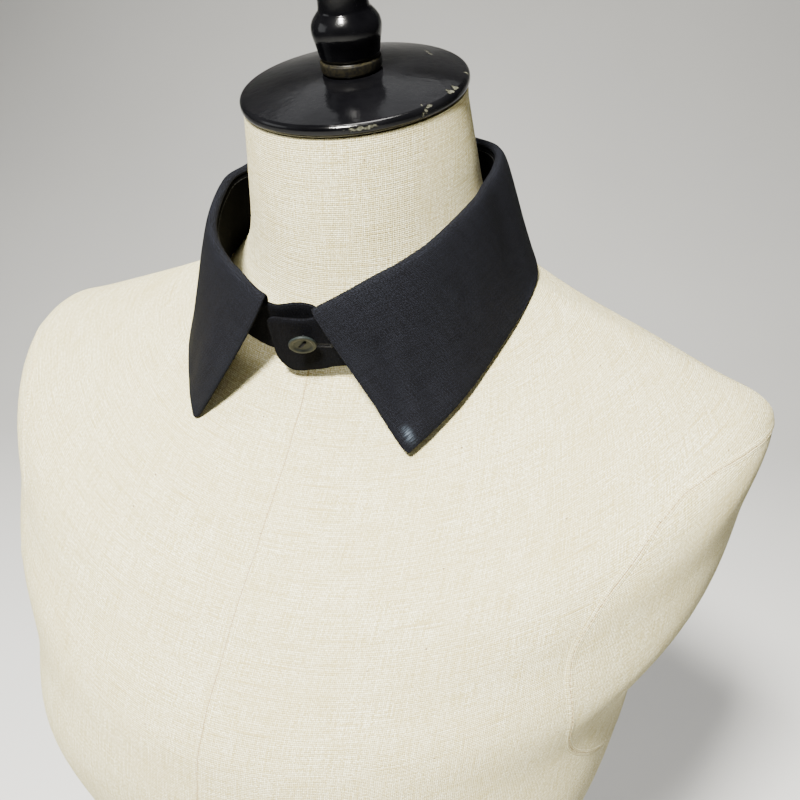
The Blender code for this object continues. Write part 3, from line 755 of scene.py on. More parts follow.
def edge_distance(grid, line, reach=8.0):
    """Distance of each point of a grid from a line of points, up to a reach."""
    travel = lengths(line, 0)
    fine = at_marks(np.arange(0, travel[-1], 0.12), travel, line)
    tree = KDTree(len(fine) + len(line))
    for k, point in enumerate(np.vstack((fine, line))):
        tree.insert(point, k)
    tree.balance()
    flat = [min(tree.find(point)[2], reach) for point in grid.reshape(-1, 3)]
    return np.array(flat).reshape(grid.shape[:2])


def cloth_wall(name, grid, wall, rim, relief, inner_relief, finish, replaced, worn=0.0, shade=0.0):
    """Cloth about a grid of middle points, its two faces meeting in a rounded rim."""
    columns, rows = grid.shape[:2]
    size = columns * rows
    normal = grid_normals(grid)
    near = 1 - np.clip(rim / (wall / 2), 0, 1)
    index = np.arange(size).reshape(columns, rows)
    other = index + size
    for border in ((0, slice(None)), (-1, slice(None)), (slice(None), 0), (slice(None), -1)):
        near[border] = 1
        other[border] = index[border]
    inside = 1 - near**2
    half = wall / 2 * np.sqrt(inside)
    outer = grid + normal * (half + relief * inside)[..., None]
    inner = grid - normal * (half + inner_relief * inside)[..., None]
    quads = grid_quads(columns, rows)
    under = other.reshape(-1)[quads][:, ::-1]
    points = np.vstack((outer.reshape(-1, 3), inner.reshape(-1, 3)))
    faces = oriented(points, np.vstack((quads, under)))
    around = lengths(grid, 0)
    around -= around[columns // 2][None]
    maps = np.stack((around, lengths(grid, 1)), axis=-1).reshape(-1, 2)
    used, faces_used = np.unique(faces, return_inverse=True)
    worn = np.broadcast_to(worn, (columns, rows)).ravel()
    # worn carries the painted highlight on the leaf's point; inside carries painted shade, full on
    # the inner faces and shade on the outer one
    values = {
        "worn": np.concatenate((worn, 0 * worn))[used],
        "inside": np.repeat((shade, 1.0), size)[used],
    }
    return add_mesh(name, points[used], faces_used.reshape(faces.shape), finish, "collar_cloth",
                    replaced, np.tile(maps, (2, 1))[faces].reshape(-1, 2), values)


def stepped(near_end, spacing, length):
    """Distances from an end: the listed ones, then even steps to the length."""
    near_end = list(near_end)
    rest = length - near_end[-1]
    count = max(int(round(rest / spacing)), 1)
    return np.array(near_end + [near_end[-1] + rest * (k + 1) / count for k in range(count)])


def shares(steps, length, spacing=1.1):
    """Distances over a length, closer together at both ends."""
    half = stepped(steps, spacing, length / 2)
    return np.concatenate((half, length - half[-2::-1]))


END_STEPS = (0.0, 0.02, 0.08, 0.18, 0.32, 0.48, 0.64, 0.82, 1.05, 1.4, 1.9, 2.5, 3.3)
RIM_STEPS = (0.0, 0.05, 0.17, 0.34, 0.52, 0.68, 0.84, 1.02, 1.3, 1.8)


def collar_columns(end):
    """Angles from one end of the cloth to the other, closer together at both."""
    half = end - stepped(END_STEPS, 1.0, end)
    return np.concatenate((-half, half[-2::-1]))


# Seam line's depth, distance from the rim and width; band's height and its two soft steps
STAND_LINE, STAND_BAND = (0.13, 0.8, 0.18), (0.1, 0.9, 0.8, 3.5, 2.5)
LEAF_LINE, LEAF_BAND = (0.13, 0.72, 0.17), (0.09, 0.85, 0.7, 4.0, 3.0)
INNER_BAND = 0.09
# Waves of the cloth: height, rates around and down, and what is added to the seed
STAND_WAVES = (0.07, 0.45, 0.3, 0)
SWAY_WAVES = (0.8, 0.2, 0.0, -4)
BROAD_WAVES = (0.16, 0.07, 0.07, 5)
FINE_WAVES = (0.05, 0.3, 0.25, 6)
ROLL_WAVES = (0.18, 0.09, 0.0, 9)
RIM_WAVES = (0.035, 0.7, 0.7, 12)
# The tab's pucker along its rim: height, pitch, distance from the rim and width
TAB_PUCKER = (0.07, 3.6, 3.2, 2.2)
# Angle and level of the buttonhole's ends; depth and width of its slit; height, place and width
# of its raised lip
BUTTONHOLE = (177.5, 0.58, 165.5, 0.42)
HOLE_SLIT, HOLE_LIP = (0.55, 0.42), (0.16, 1.2, 0.7)
# The stand's low edge dips at both sides, so that the lit form doesn't show under it
SIDE_DIP, SIDE_DIP_ANGLE, SIDE_DIP_WIDTH = 1.5, 92.0, 9.0
# The rows' spacing is worked out for this height; those of the rims keep their distances
STAND_ROWS, STAND_RIM = 29.0, 1.9


def build_stand(surface, finish):
    angles = collar_columns(FRONT_ANGLE + TAB_ANGLE)
    low, top = stand_edges(angles)
    low[:, 2] -= SIDE_DIP * bell(np.abs(angles), SIDE_DIP_ANGLE, SIDE_DIP_WIDTH)
    height = np.linalg.norm(top - low, axis=-1)[:, None]
    distance = (FRONT_ANGLE + TAB_ANGLE - np.abs(angles))[:, None] * FRONT_MM_PER_DEGREE
    first = corner_drop(distance, LOW_CORNER)
    last = height - corner_drop(distance, TOP_CORNER)
    edge = shares(RIM_STEPS, STAND_ROWS)[::-1]
    wide = last - first > 8.0
    depth = first + edge / STAND_ROWS * (last - first)
    depth = np.where(wide & (edge < STAND_RIM), first + edge, depth)
    depth = np.where(wide & (edge > STAND_ROWS - STAND_RIM), last - (STAND_ROWS - edge), depth)
    level = depth / height
    grid = low[:, None] + (top - low)[:, None] * level[..., None]
    grid = lifted(surface, grid, STAND_WALL / 2 + REST, 0.8)
    rim = edge_distance(grid, np.concatenate((grid[:, 0], grid[-1], grid[::-1, -1], grid[0, ::-1])))
    travel = lengths(grid, 0)
    travel -= travel[len(angles) // 2][None]
    depth = level * height
    turn = angles[:, None] + 0 * level
    outer = rim_relief(rim, STAND_LINE, STAND_BAND)
    outer += waves(travel, depth, *STAND_WAVES) * ease((rim - 0.8) / 2)
    tab = ease((np.abs(turn) - 150) / 20)
    rise, pitch, place, width = TAB_PUCKER
    pucker = rise * np.sin(travel * math.tau / pitch + waves(travel, depth, *SWAY_WAVES))
    outer += tab * pucker * bell(rim, place, width)
    start, start_level, stop, stop_level = BUTTONHOLE
    along = (turn - start) / (stop - start)
    line = (start_level + (stop_level - start_level) * np.clip(along, 0, 1)) * height
    beyond = np.maximum(np.maximum(-along, along - 1), 0) * abs(stop - start) * FRONT_MM_PER_DEGREE
    off = np.hypot(depth - line, beyond)
    outer += HOLE_LIP[0] * bell(off, *HOLE_LIP[1:]) - HOLE_SLIT[0] * bell(off, 0.0, HOLE_SLIT[1])
    inner = INNER_BAND * plateau(rim, *STAND_BAND[1:])
    # The stand's outer face gets painted shade, 0.6 of the inner faces' darkening
    piece = cloth_wall("stand_cloth", grid, STAND_WALL, rim, outer, inner, finish,
                       ("collar_stand",), shade=0.6)
    return piece, angles, grid


# Millimetres by which the leaf's two points and its left edge stand off their CAD places
LEFT_TIP_LIFT = (0.1, -2.9, 2.4)
RIGHT_TIP_LIFT = (1.2, -2.6, 1.9)
EDGE_LIFT = (0.1, -2.1, 1.3)

# On the leaf: angle and millimetres below the crest at each end, height, half width
CREASES = (
    (156.0, 26.0, 161.5, 62.0, -1.6, 3.6),
    (150.5, 30.0, 157.0, 64.0, 0.9, 4.4),
    (-158.0, 22.0, -163.0, 52.0, -0.35, 4.5),
    (-150.0, 30.0, -154.0, 60.0, 0.3, 6.0),
    (128.0, 10.0, 138.0, 44.0, -0.35, 8.0),
    (108.0, 12.0, 112.0, 46.0, 0.45, 9.0),
    (84.0, 8.0, 86.0, 40.0, -0.35, 8.0),
    (-112.0, 8.0, -118.0, 46.0, -0.35, 9.0),
    (-60.0, 10.0, -58.0, 40.0, 0.3, 9.0),
    (22.0, 8.0, 18.0, 38.0, -0.25, 8.0),
)


def creased(turn, fall):
    """Height of the leaf's soft troughs and ridges at angles and distances below the crest."""
    rise = np.zeros_like(turn)
    scale = np.array((FRONT_MM_PER_DEGREE, 1.0))
    for *ends, height, width in CREASES:
        off, t = off_segment(turn * FRONT_MM_PER_DEGREE, fall, ends[:2] * scale, ends[2:] * scale)
        rise += height * bell(off, 0.0, width) * (0.35 + 0.65 * np.sin(math.pi * (0.1 + 0.7 * t)))
    return rise


def leaf_profile(angles):
    """Fine points of the leaf from its seam, over the roll, to its outer edge."""
    found = sections(angles)
    outward = outward_at(angles)
    low, top = stand_edges(angles)
    rise = unit(top - low)
    root = top + rise * GAP
    start = root + rise * SEAM_RISE
    crest = moved_ends(found[:, 2], angles, 1.0)
    lean = ease((-angles - RIGHT_START) / RIGHT_BLEND)[:, None]
    edge = found[:, 3] + np.array((0.0, -RIGHT_REACH, -RIGHT_DROP)) * lean
    inward = np.stack((-outward[:, 1], outward[:, 0], 0 * outward[:, 0]), axis=-1) * lean
    points = [root]
    for turn in np.linspace(0, math.pi / 2, 24, endpoint=False):
        point = start + (crest - start) * (1 - math.cos(turn))
        point[:, 2] = start[:, 2] + (crest[:, 2] - start[:, 2]) * math.sin(turn)
        points.append(point)
    length = np.linalg.norm(edge - crest, axis=-1, keepdims=True)
    handle = crest + outward * ROLL_HANDLE + inward * RIGHT_BOW
    arrive = edge - (edge - crest) * FALL_HANDLE + inward * RIGHT_LOW_BOW
    corner = np.where(angles < 0, RIGHT_TIP_CORNER, TIP_CORNER)
    drop = corner_drop((LEAF_END_ANGLE - np.abs(angles)) * TIP_MM_PER_DEGREE, corner)[:, None]
    for step in np.linspace(0, 1, 72):
        t = step**1.3 * (1 - drop / length)
        point = crest * (1 - t) ** 3 + handle * 3 * t * (1 - t) ** 2
        points.append(point + arrive * 3 * t**2 * (1 - t) + edge * t**3)
    return np.stack(points, axis=1)


# The rows' spacing is worked out for this width; those of the rims keep their distances
LEAF_ROWS, LEAF_RIM = 66.0, 3.0
# Points of a leaf_profile column from its seam to the crest
ROLL_ROWS = 25
# Where the lifts start and the range over which they grow: by angle, then by distance
TIP_LIFT_TURN, TIP_LIFT_FALL = (146.0, 22.0), (16.0, 44.0)
EDGE_LIFT_TURN, EDGE_LIFT_BAND = (116.0, 38.0), 22.0
# The painted highlight on the point, where the cloth is also made smoother: angle and distance
# below the crest, and its half widths
TIP_HIGHLIGHT_PLACE, TIP_HIGHLIGHT_SIZE = (164.0, 67.0), (1.6, 3.0)


def grown(value, limits):
    """A smooth step from 0 to 1, from where it starts over its reach."""
    start, reach = limits
    return ease((value - start) / reach)


def build_leaf(surface, finish):
    angles = collar_columns(LEAF_END_ANGLE)
    fine = leaf_profile(angles)
    travel = lengths(fine, 1)
    whole = travel[:, -1:]
    edge = shares(RIM_STEPS, LEAF_ROWS, 1.15)
    marks = LEAF_RIM + (edge - LEAF_RIM) * (whole - 2 * LEAF_RIM) / (LEAF_ROWS - 2 * LEAF_RIM)
    marks = np.where(edge < LEAF_RIM, edge, marks)
    marks = np.where(edge > LEAF_ROWS - LEAF_RIM, whole - (LEAF_ROWS - edge), marks)
    grid = np.stack([at_marks(*column) for column in zip(marks, travel, fine)])
    fall = marks - travel[:, ROLL_ROWS][:, None]
    turn = angles[:, None] + 0 * fall
    below = ease(fall / 10)
    around = turn * FRONT_MM_PER_DEGREE
    rise = creased(turn, fall)
    rise += waves(around, fall, *BROAD_WAVES) + waves(around, fall, *FINE_WAVES)
    grid = grid + grid_normals(grid) * (rise * below)[..., None]
    lift = grown(np.abs(turn), TIP_LIFT_TURN) * grown(fall, TIP_LIFT_FALL)
    grid += np.where(turn[..., None] > 0, LEFT_TIP_LIFT, RIGHT_TIP_LIFT) * lift[..., None]
    near = (whole - marks) / EDGE_LIFT_BAND
    grid += np.array(EDGE_LIFT) * (grown(turn, EDGE_LIFT_TURN) * ease(1.0 - near))[..., None]
    grid[..., 2] += waves(around, fall, *ROLL_WAVES) * bell(fall, 0.0, 9.0)
    grid = lifted(surface, grid, LEAF_WALL / 2 + REST)
    rim = edge_distance(grid, np.concatenate((grid[0], grid[:, -1], grid[-1, ::-1])))
    root = edge_distance(grid, grid[:, 0])
    shown = np.where(fall > -2.0, rim, 8.0)
    outer = rim_relief(shown, LEAF_LINE, LEAF_BAND)
    outer += waves(around, fall, *RIM_WAVES) * bell(shown, 2.5, 2.0)
    # The painted highlight patch on the point, kept clear of the rim
    worn = bell((turn - TIP_HIGHLIGHT_PLACE[0]) * TIP_MM_PER_DEGREE, 0.0, TIP_HIGHLIGHT_SIZE[0])
    worn *= bell(fall, TIP_HIGHLIGHT_PLACE[1], TIP_HIGHLIGHT_SIZE[1])
    worn = np.clip(worn * 1.1, 0, 1) * np.clip(shown / 0.9, 0, 1)
    return cloth_wall("leaf_cloth", grid, LEAF_WALL, np.minimum(rim, root), outer, 0 * outer,
                      finish, ("collar_leaf",), worn)


# Radius and rise of a stitch
SEAM_STITCH, HOLE_STITCH, BAR_STITCH = (0.14, 0.05), (0.15, 0.06), (0.16, 0.12)
ARMHOLE_STITCH = (0.17, 0.06)
# Along the seam inside the stand: distance below the top, length, pitch, last angle
INNER_SEAM = (1.5, 2.0, 2.45, 168.0)
# Across the buttonhole: stitches along it, and their inner and outer ends from its middle
HOLE_STITCHES, HOLE_ENDS = 35, (0.32, 1.3)


def add_stand_stitches(angles, grid, finish, dark):
    """The seam line inside the top of the stand, and the buttonhole's stitches."""
    normal = grid_normals(grid)

    def spot(angle, below, side):
        """A place on the stand's face and the way it faces; side is 1 outside and -1 inside."""
        i = min(max(int(np.searchsorted(angles, angle)), 1), len(angles) - 1)
        share = (angle - angles[i - 1]) / (angles[i] - angles[i - 1])
        column = grid[i - 1] * (1 - share) + grid[i] * share
        facing = unit(normal[i - 1] * (1 - share) + normal[i] * share)
        travel = lengths(column, 0)
        up = at_marks(below, travel, facing) * side
        return at_marks(below, travel, column) + up * STAND_WALL / 2, up

    def hole_middle(angle, level):
        low, top = stand_edges(np.array([angle]))
        return (1 - level) * float(np.linalg.norm(top - low))

    seams = []
    below, length, pitch, limit = INNER_SEAM
    for angle in np.arange(-limit, limit, pitch / FRONT_MM_PER_DEGREE):
        start, up = spot(angle, below, -1)
        end, _ = spot(angle + length / FRONT_MM_PER_DEGREE, below, -1)
        seams.append(stitch(start + up * 0.05, end + up * 0.05, up, *SEAM_STITCH))
    add_mesh("stand_stitches", *joined(seams), finish, "collar_cloth")
    seams, rng = [], np.random.default_rng(SEED + 20)
    first, first_level, last, last_level = BUTTONHOLE
    for t in np.linspace(0, 1, HOLE_STITCHES):
        angle = first + (last - first) * t
        middle = hole_middle(angle, first_level + (last_level - first_level) * t)
        for side in (-1, 1):
            outside = middle + side * (HOLE_ENDS[1] + rng.uniform(-0.08, 0.08))
            start, up = spot(angle, middle + side * HOLE_ENDS[0], 1)
            end, _ = spot(angle + rng.uniform(-0.06, 0.06), outside, 1)
            seams.append(stitch(start - up * 0.05, end, up, *HOLE_STITCH))
    for angle, level in ((first + 0.35, first_level), (last - 0.35, last_level)):
        middle = hole_middle(angle, level)
        for k in range(4):
            place = angle + (k - 1.5) * 0.3 / FRONT_MM_PER_DEGREE
            start, up = spot(place, middle - 1.4, 1)
            end, _ = spot(place, middle + 1.4, 1)
            seams.append(stitch(start, end, up, *BAR_STITCH))
    add_mesh("buttonhole_stitches", *joined(seams), dark, "collar_cloth")


# Thread ends at the tab's edge: reach, drop, curl
THREAD_ENDS = ((1.7, -0.5, 0.5), (2.3, -1.2, -0.4), (1.2, -1.9, 0.7))


def add_loose_threads(finish):
    tails = []
    start = stand_point(188.2, 0.17) + np.array((0.4, -0.2, -0.6))
    for reach, drop, curl in THREAD_ENDS:
        path = []
        for t in np.linspace(0, 1, 9):
            bend = curl * math.sin(math.pi * t)
            path.append(start + np.array((-reach * t, -0.5 * t - 0.3 * bend, drop * t + bend)))
        tails.append(tube(path, np.linspace(0.13, 0.07, 9), 6))
    add_mesh("thread_ends", *joined(tails), finish, "collar_cloth")


# The button

def button_matrix():
    angle = FRONT_ANGLE - BUTTON_ANGLE
    rise = Vector(stand_point(angle, 1.0) - stand_point(angle, 0.0)).normalized()
    along = rise.cross(Vector(outward_at(np.array([angle]))[0])).normalized()
    normal = along.cross(rise).normalized()
    lift = STAND_WALL / 2 + BUTTON_SHANK + BUTTON_THICKNESS / 2
    centre = Vector(stand_point(angle, BUTTON_LEVEL)) + normal * lift
    turn = Matrix((along, rise, normal)).transposed().to_4x4()
    yaw = Matrix.Rotation(math.radians(BUTTON_YAW), 4, "Y")
    nod = Matrix.Rotation(math.radians(BUTTON_NOD), 4, "X")
    spin = Matrix.Rotation(math.radians(BUTTON_SPIN), 4, "Z")
    return Matrix.Translation(centre) @ turn @ yaw @ nod @ spin


def moved(points, matrix):
    turn = np.array(matrix.to_3x3())
    return np.asarray(points, float) @ turn.T + np.array(matrix.translation)


def button_height(radius):
    """Height of the button's face above its middle plane."""
    rim = BUTTON_RADIUS - BUTTON_RIM
    inner = 1 - ease((radius - (rim - BUTTON_DISH - 0.2)) / (BUTTON_DISH + 0.5))
    edge = np.clip((radius - (BUTTON_RADIUS - BUTTON_EDGE)) / BUTTON_EDGE, 0, 1)
    fall = BUTTON_EDGE * (1 - np.sqrt(np.maximum(1 - edge**2, 0)))
    return BUTTON_THICKNESS / 2 - BUTTON_DISH * inner - fall


BUTTON_SEGMENTS = 96
FAN_RINGS = 9
HOLE_EDGE = 0.12


def build_button(finish, matrix):
    """A dished button: its side, and a fan of rings about each hole on its face and back."""
    turn = math.tau * np.arange(BUTTON_SEGMENTS) / BUTTON_SEGMENTS
    half = BUTTON_THICKNESS / 2
    inside = BUTTON_RADIUS - BUTTON_EDGE
    swing = np.linspace(0, math.pi / 2, 7)
    side = [(inside + BUTTON_EDGE * math.sin(a), half - BUTTON_EDGE * (1 - math.cos(a)))
            for a in swing]
    side += [(inside + BUTTON_EDGE * math.cos(a), half - BUTTON_EDGE * (2 + math.sin(a)))
             for a in swing]
    waist = half - 3 * BUTTON_EDGE
    side += [(inside + (BUTTON_BACK_RADIUS - inside) * share, waist - (half + waist) * share**0.85)
             for share in (0.2, 0.4, 0.6, 0.8, 0.93, 1.0)]
    rings = [np.stack((r * np.cos(turn), r * np.sin(turn), 0 * turn + z), axis=-1) for r, z in side]
    parts = [(np.vstack(rings), grid_quads(len(side), BUTTON_SEGMENTS, wrap=True))]
    chord = np.linspace(1, -1, 26)[1:-1, None] * (0.0, 1.0)
    share = ((np.arange(FAN_RINGS + 1) / FAN_RINGS) ** 0.8)[:, None, None]
    half_turn = np.arange(BUTTON_SEGMENTS // 2 + 1)
    for sign in (1, -1):
        bow = turn[(half_turn - sign * BUTTON_SEGMENTS // 4) % BUTTON_SEGMENTS]
        outline = np.vstack((np.stack((np.cos(bow), np.sin(bow)), axis=-1), chord * sign))
        centre = np.array((sign * BUTTON_HOLE_SPACING / 2, 0.0))
        hole_ends = []
        for level, reach in ((1, inside), (-1, BUTTON_BACK_RADIUS)):
            border = outline * reach
            hole = centre + BUTTON_HOLE_RADIUS * unit(border - centre)
            flat = hole + (border - hole) * share
            z = np.full(flat.shape[:2], -half)
            if level == 1:
                z = button_height(np.linalg.norm(flat, axis=-1))
            z[0] -= level * HOLE_EDGE
            fan = np.concatenate((flat, z[..., None]), axis=-1)
            parts.append((fan.reshape(-1, 3), grid_quads(FAN_RINGS + 1, len(border), wrap=True)))
            hole_ends.append(fan[0])
        parts.append((np.vstack(hole_ends), grid_quads(2, len(border), wrap=True)))
    points, faces = joined(parts)
    weld(add_mesh("button_disc", moved(points, matrix), faces, finish, "button", ("button",)))


def weld(piece):
    """Joins the points that two borders share, and turns all faces outwards."""
    work = bmesh.new()
    work.from_mesh(piece.data)
    bmesh.ops.remove_doubles(work, verts=work.verts, dist=1e-6)
    bmesh.ops.recalc_face_normals(work, faces=work.faces)
    work.to_mesh(piece.data)
    work.free()
    piece.data.shade_smooth()
    piece.data.set_sharp_from_angle(angle=math.radians(50.0))


# The thread wound round the button's shank: millimetres between turns
COIL_PITCH = 0.36


def build_button_thread(thread, matrix):
    half = BUTTON_THICKNESS / 2
    face = half - BUTTON_DISH
    reach = BUTTON_HOLE_SPACING / 2
    foot = -half - BUTTON_SHANK - 0.3
    parts = []
    for shift, height in ((-0.3, 0.0), (0.28, 0.02), (0.0, 0.28), (0.05, -0.1)):
        side = np.array((
            (reach * 0.25, shift * 0.5, foot), (reach * 0.55, shift * 0.6, -half - 0.7),
            (reach + 0.1, shift, -half + 0.3), (reach + 0.05, shift, face - 0.1),
            (reach - 0.35, shift, face + 0.28 + height),
        ))
        path = np.vstack((side * (-1, 1, 1), (0.0, shift * 1.1, face + 0.36 + height), side[::-1]))
        parts.append(tube(catmull(path, np.linspace(0, len(path) - 1, 61)), 0.24))
    turn = np.linspace(0, math.tau, 25)
    coil = (0.85 * np.cos(turn), 0.62 * np.sin(turn), COIL_PITCH * turn / math.tau)
    coil = np.stack(coil, axis=-1)
    for k in range(5):
        parts.append(tube(coil + (0.0, 0.0, -half - 0.45 - k * COIL_PITCH), 0.2, 6))
    points, faces = joined(parts)
    add_mesh("button_thread", moved(points, matrix), faces, thread, "button")


# Turned pieces and the board

def cap_matrix(lift=0.0):
    return Matrix.Rotation(math.radians(CAP_TILT), 4, "X") @ Matrix.Translation((0.0, 0.0, lift))


# On the cap's rim: bearing, height, half length and half height in millimetres
CHIPS = (
    (-62.0, -0.55, 5.2, 0.75), (-57.5, -0.3, 2.0, 0.6), (-32.0, -1.0, 0.5, 1.0),
    (-30.2, 0.0, 0.5, 1.2), (-27.5, 0.9, 1.7, 0.35), (-9.5, 1.3, 1.9, 0.3),
    (-4.5, 1.35, 1.6, 0.3), (15.9, 1.1, 0.6, 0.5),
)
# Waves of the chips' outlines and, below, of the dust: height, two rates, added to the seed
CHIP_WAVES = (0.9, 1.0, 1.0, 30)
# A scratch on the cap's top, from and to
SCRATCH = ((19.8, 34.5), (26.8, 26.2))


def turned(name, profile, segments, finish, replaced, matrix, values, shape=None, sharp=40.0):
    """A piece turned about its local Z, from a profile that ends on the axis."""
    turn = math.tau * np.arange(segments) / segments
    radius, height = np.asarray(profile, float).T
    grid = np.stack((radius[:-1, None] * np.cos(turn), radius[:-1, None] * np.sin(turn),
                     height[:-1, None] + 0 * turn), axis=-1)
    amounts = {key: make(grid) for key, make in values.items()}
    if shape is not None:
        grid = shape(grid, amounts)
    points = np.vstack((grid.reshape(-1, 3), (0.0, 0.0, height[-1])))
    faces = [*grid_quads(len(grid), segments, wrap=True), range(segments - 1, -1, -1)]
    last = len(points) - 1 - segments
    faces += [(last + k, last + (k + 1) % segments, len(points) - 1) for k in range(segments)]
    flat = {key: np.zeros(len(points)) for key in ("chip", "dust")}
    for key, amount in amounts.items():
        flat[key][:-1] = amount.reshape(-1)
    add_mesh(name, moved(points, matrix), faces, finish, "lacquer", replaced,
             values=flat, sharp=sharp)


def chipped(grid):
    x, y, z = np.moveaxis(grid, -1, 0)
    radius, bearing = np.hypot(x, y), np.degrees(np.arctan2(y, x))
    amount = np.zeros_like(x)
    rough = waves(x * 2.6, z * 3.4 + y * 2.3, *CHIP_WAVES)
    for where, height, half_length, half_height in CHIPS:
        off = (bearing - where + 180) % 360 - 180
        along = off * math.pi / 180 * CAP_RADIUS / half_length
        spot = 1.0 - np.hypot(along, (z - height) / half_height) + rough
        amount = np.maximum(amount, ease(spot / 0.25))
    off, _ = off_segment(x, y, *SCRATCH)
    scratch = ease((0.34 - off) / 0.2) * (radius < 47) * (z > 0)
    return np.maximum(amount * (radius > CAP_RADIUS - 4.0), scratch * 0.7)


def chip_shape(grid, amounts):
    inward = grid.copy()
    inward[..., 2] = 0.0
    inward = -unit(inward) * (amounts["chip"] * 0.26)[..., None]
    inward[..., 2] -= amounts["chip"] * 0.12 * np.sign(grid[..., 2])
    steep = np.hypot(grid[..., 0], grid[..., 1]) > CAP_RADIUS - 3.0
    return grid + inward * steep[..., None]


def arc(centre_radius, centre_height, radius, start, stop, steps):
    turn = np.radians(np.linspace(start, stop, steps + 1))
    return [(centre_radius + radius * math.cos(a), centre_height + radius * math.sin(a))
            for a in turn]


def build_cap(finish):
    inside = CAP_RADIUS - CAP_ROUND
    straight = CAP_TOP - CAP_BASE - 2 * CAP_ROUND
    profile = [(inside - 0.8, CAP_BASE)]
    profile += arc(inside, CAP_BASE + CAP_ROUND, CAP_ROUND, -80.0, 0.0, 10)
    profile += [(CAP_RADIUS, CAP_BASE + CAP_ROUND + straight * k / 3) for k in range(1, 3)]
    profile += arc(inside, CAP_TOP - CAP_ROUND, CAP_ROUND, 0.0, 80.0, 12)
    for radius in np.linspace(inside, 0.0, 64)[1:]:
        profile.append((radius, CAP_TOP + CAP_CROWN * (1 - (radius / inside) ** 2)))
    turned("neck_cap_lacquer", profile, 720, finish, ("neck_cap",), cap_matrix(),
           {"chip": chipped}, chip_shape, 60.0)


# From and to, in millimetres above the finial's foot
DUST_BAND = (4.7, 6.3)
DUST_WAVES = (0.35, 0.5, 0.5, 40)


def dusty(grid):
    x, y, height = np.moveaxis(grid, -1, 0)
    low, high = DUST_BAND
    band = plateau(height, low - 0.5, 0.6, high - 0.1, 0.6)
    patch = 0.75 + waves(x, y, *DUST_WAVES)
    foot = 0.5 * (1 - ease((height - 4.4) / 0.6))
    return np.clip(band * patch + foot, 0, 1)


def build_finial(finish):
    places = np.linspace(0, len(FINIAL_PROFILE) - 1, (len(FINIAL_PROFILE) - 1) * 5 + 1)
    profile = catmull(FINIAL_PROFILE, places)
    matrix = cap_matrix(CAP_TOP + CAP_CROWN + GAP)
    turned("finial_lacquer", profile, 160, finish, ("finial",), matrix, {"dust": dusty})


BOARD_SEGMENTS = 240


def build_board(finish):
    hem = FORM_RINGS[-1]
    top = hem[5] - GAP
    base = top - BOARD_THICKNESS
    levels = [(BOARD_MARGIN - 1.0, base)]
    levels += arc(BOARD_MARGIN - 1.0, base + 1.0, 1.0, -90.0, 0.0, 4)[1:]
    levels += [(BOARD_MARGIN, base + 1.0 + (BOARD_THICKNESS - 4.0) * k / 4) for k in range(1, 4)]
    levels += arc(BOARD_MARGIN - BOARD_ROUND, top - BOARD_ROUND, BOARD_ROUND, 0.0, 90.0, 8)
    bearings = math.tau * np.arange(BOARD_SEGMENTS) / BOARD_SEGMENTS
    outline = form_points([len(FORM_RINGS) - 1.0], bearings)[0]
    outline[:, 2] = 0.0
    outward = unit(outline - (0.0, hem[2], 0.0))
    points = np.vstack([outline + outward * grow + (0.0, 0.0, z) for grow, z in levels])
    quads = oriented(points, grid_quads(len(levels), BOARD_SEGMENTS, wrap=True))
    last = len(points) - BOARD_SEGMENTS
    faces = [*quads, range(BOARD_SEGMENTS - 1, -1, -1), range(last, len(points))]
    clean = np.zeros(len(points))
    add_mesh("base_board_lacquer", points, faces, finish, "lacquer", ("base_board",),
             values={"chip": clean, "dust": clean}, sharp=50.0)


# Stage, lights and camera

# Metres: half the floor's width, where its curve starts, the wall's top
STAGE_REACH, STAGE_CURVE, STAGE_TOP = 2.6, 1.0, 3.0
STAGE_AZIMUTH = 22.4


def build_stage():
    """A pale floor that curves up into a pale wall, across the photo's view."""
    facing = math.radians(STAGE_AZIMUTH)
    profile = [(-STAGE_REACH, 0.0), (STAGE_CURVE, 0.0)]
    profile += [(STAGE_CURVE + math.sin(a), 1.0 - math.cos(a))
                for a in np.linspace(0, math.pi / 2, 25)[1:]]
    profile += [(STAGE_CURVE + 1.0, STAGE_TOP)]
    points = [(across * math.cos(facing) - depth * math.sin(facing),
               across * math.sin(facing) + depth * math.cos(facing), height)
              for across in (-STAGE_REACH, STAGE_REACH) for depth, height in profile]
    count = len(profile)
    mesh = bpy.data.meshes.new("floor")
    mesh.from_pydata(points, [], [(k, count + k, count + k + 1, k + 1) for k in range(count - 1)])
    mesh.shade_smooth()
    mesh.materials.append(stage_finish("pale_stage"))
    placed("floor", mesh)


MIDDLE = (0.0, -0.03, 0.48)
# Name, place and target in metres, two sizes, power, colour, spread in degrees
LIGHTS = (
    ("key", (0.0, -1.27, 1.72), MIDDLE, (0.28, 0.28), 51.0, (1.0, 0.975, 0.90), 90.0),
    ("fill", (-1.5, -0.9, 0.9), MIDDLE, (0.9, 0.9), 2.0, (0.96, 0.98, 1.0), 120.0),
    ("top", (-0.1, -0.2, 2.1), MIDDLE, (0.6, 0.6), 13.0, (1.0, 0.98, 0.94), 120.0),
    ("overhead", (-0.7, 0.88, 2.0), (-0.7, 0.88, 0.0), (0.9, 0.85), 1.6, (0.97, 0.98, 1.0), 170.0),
)
SKY_COLOUR = (0.95, 0.97, 1.0, 1.0)
SKY_STRENGTH = 0.07


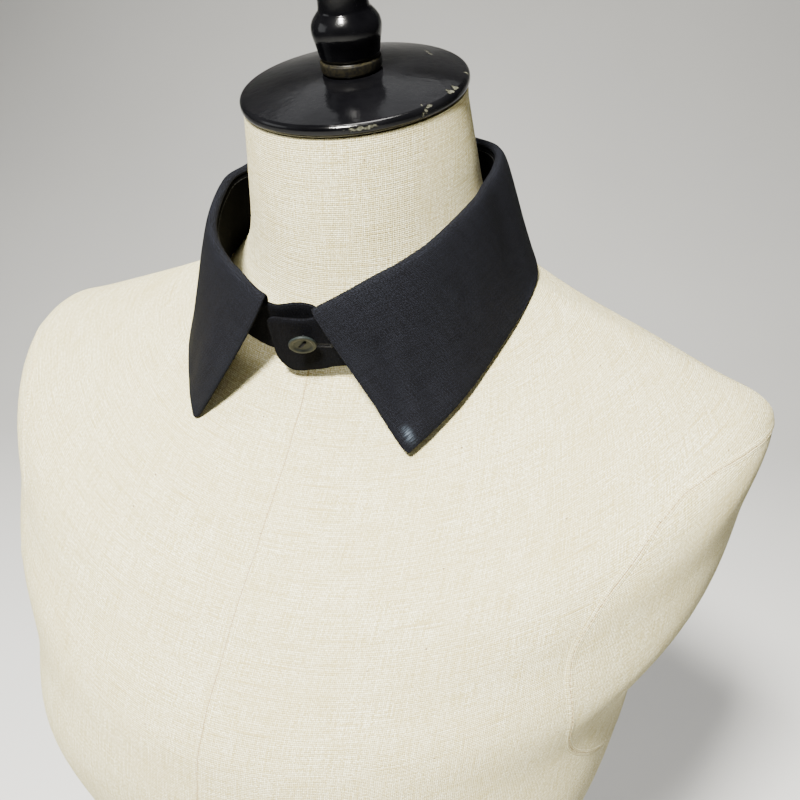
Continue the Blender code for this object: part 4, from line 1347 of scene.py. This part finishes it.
def light_scene():
    world = bpy.data.worlds.new("studio")
    bpy.context.scene.world = world
    world.use_nodes = True
    backdrop = world.node_tree.nodes["Background"]
    backdrop.inputs[0].default_value = SKY_COLOUR
    backdrop.inputs[1].default_value = SKY_STRENGTH
    for name, place, target, size, power, tint, spread in LIGHTS:
        light = bpy.data.lights.new(name, "AREA")
        light.shape = "RECTANGLE"
        light.size, light.size_y = size
        light.energy = power
        light.spread = math.radians(spread)
        light.color = tint
        lamp = placed(name, light)
        lamp.location = place
        lamp.rotation_mode = "QUATERNION"
        lamp.rotation_quaternion = (Vector(target) - Vector(place)).to_track_quat("-Z", "Y")


CAMERA_PLACE = (179.65, -370.83, 5.05)
CAMERA_AZIMUTH = 22.395
CAMERA_ELEVATION = 20.0
CAMERA_ROLL = 2.11
FOCAL_PIXELS = 900.0
PHOTO_PIXELS = 800.0


def place_camera():
    azimuth, elevation = math.radians(CAMERA_AZIMUTH), math.radians(CAMERA_ELEVATION)
    roll = math.radians(CAMERA_ROLL)
    level = math.cos(elevation)
    back = Vector((math.sin(azimuth) * level, -math.cos(azimuth) * level, math.sin(elevation)))
    right = (-back).cross(Vector((0.0, 0.0, 1.0))).normalized()
    up = right.cross(-back)
    turned_right = math.cos(roll) * right + math.sin(roll) * up
    turned_up = -math.sin(roll) * right + math.cos(roll) * up
    matrix = Matrix((turned_right, turned_up, back)).transposed().to_4x4()
    matrix.translation = Vector((np.array(CAMERA_PLACE) + NECK) * MM)
    data = bpy.data.cameras.new("camera")
    data.sensor_width = 36.0
    data.lens = FOCAL_PIXELS / PHOTO_PIXELS * data.sensor_width
    data.clip_start = 0.01
    camera = placed("camera", data)
    camera.matrix_world = matrix
    bpy.context.scene.camera = camera


def build_all():
    linen = linen_finish("linen")
    cloth = collar_finish("collar_weave")
    black_thread = thread_finish("black_thread", (5, 5, 6), (20, 20, 23))
    grey_thread = thread_finish("seam_thread", (22, 22, 23), (42, 42, 41))
    linen_thread = thread_finish("linen_thread", (190, 176, 136), (226, 214, 178))
    lacquer = lacquer_finish("black_lacquer")
    surface = build_form(linen)
    build_form_seams(surface, linen, linen_thread)
    stand, stand_angles, stand_grid = build_stand(surface, cloth)
    leaf = build_leaf(surface, cloth)
    add_stand_stitches(stand_angles, stand_grid, grey_thread, black_thread)
    add_loose_threads(black_thread)
    matrix = button_matrix()
    build_button(button_finish("button_plastic"), matrix)
    build_button_thread(black_thread, matrix)
    for build in (build_cap, build_finial, build_board):
        build(lacquer)
    build_stage()
    light_scene()
    place_camera()


build_all()
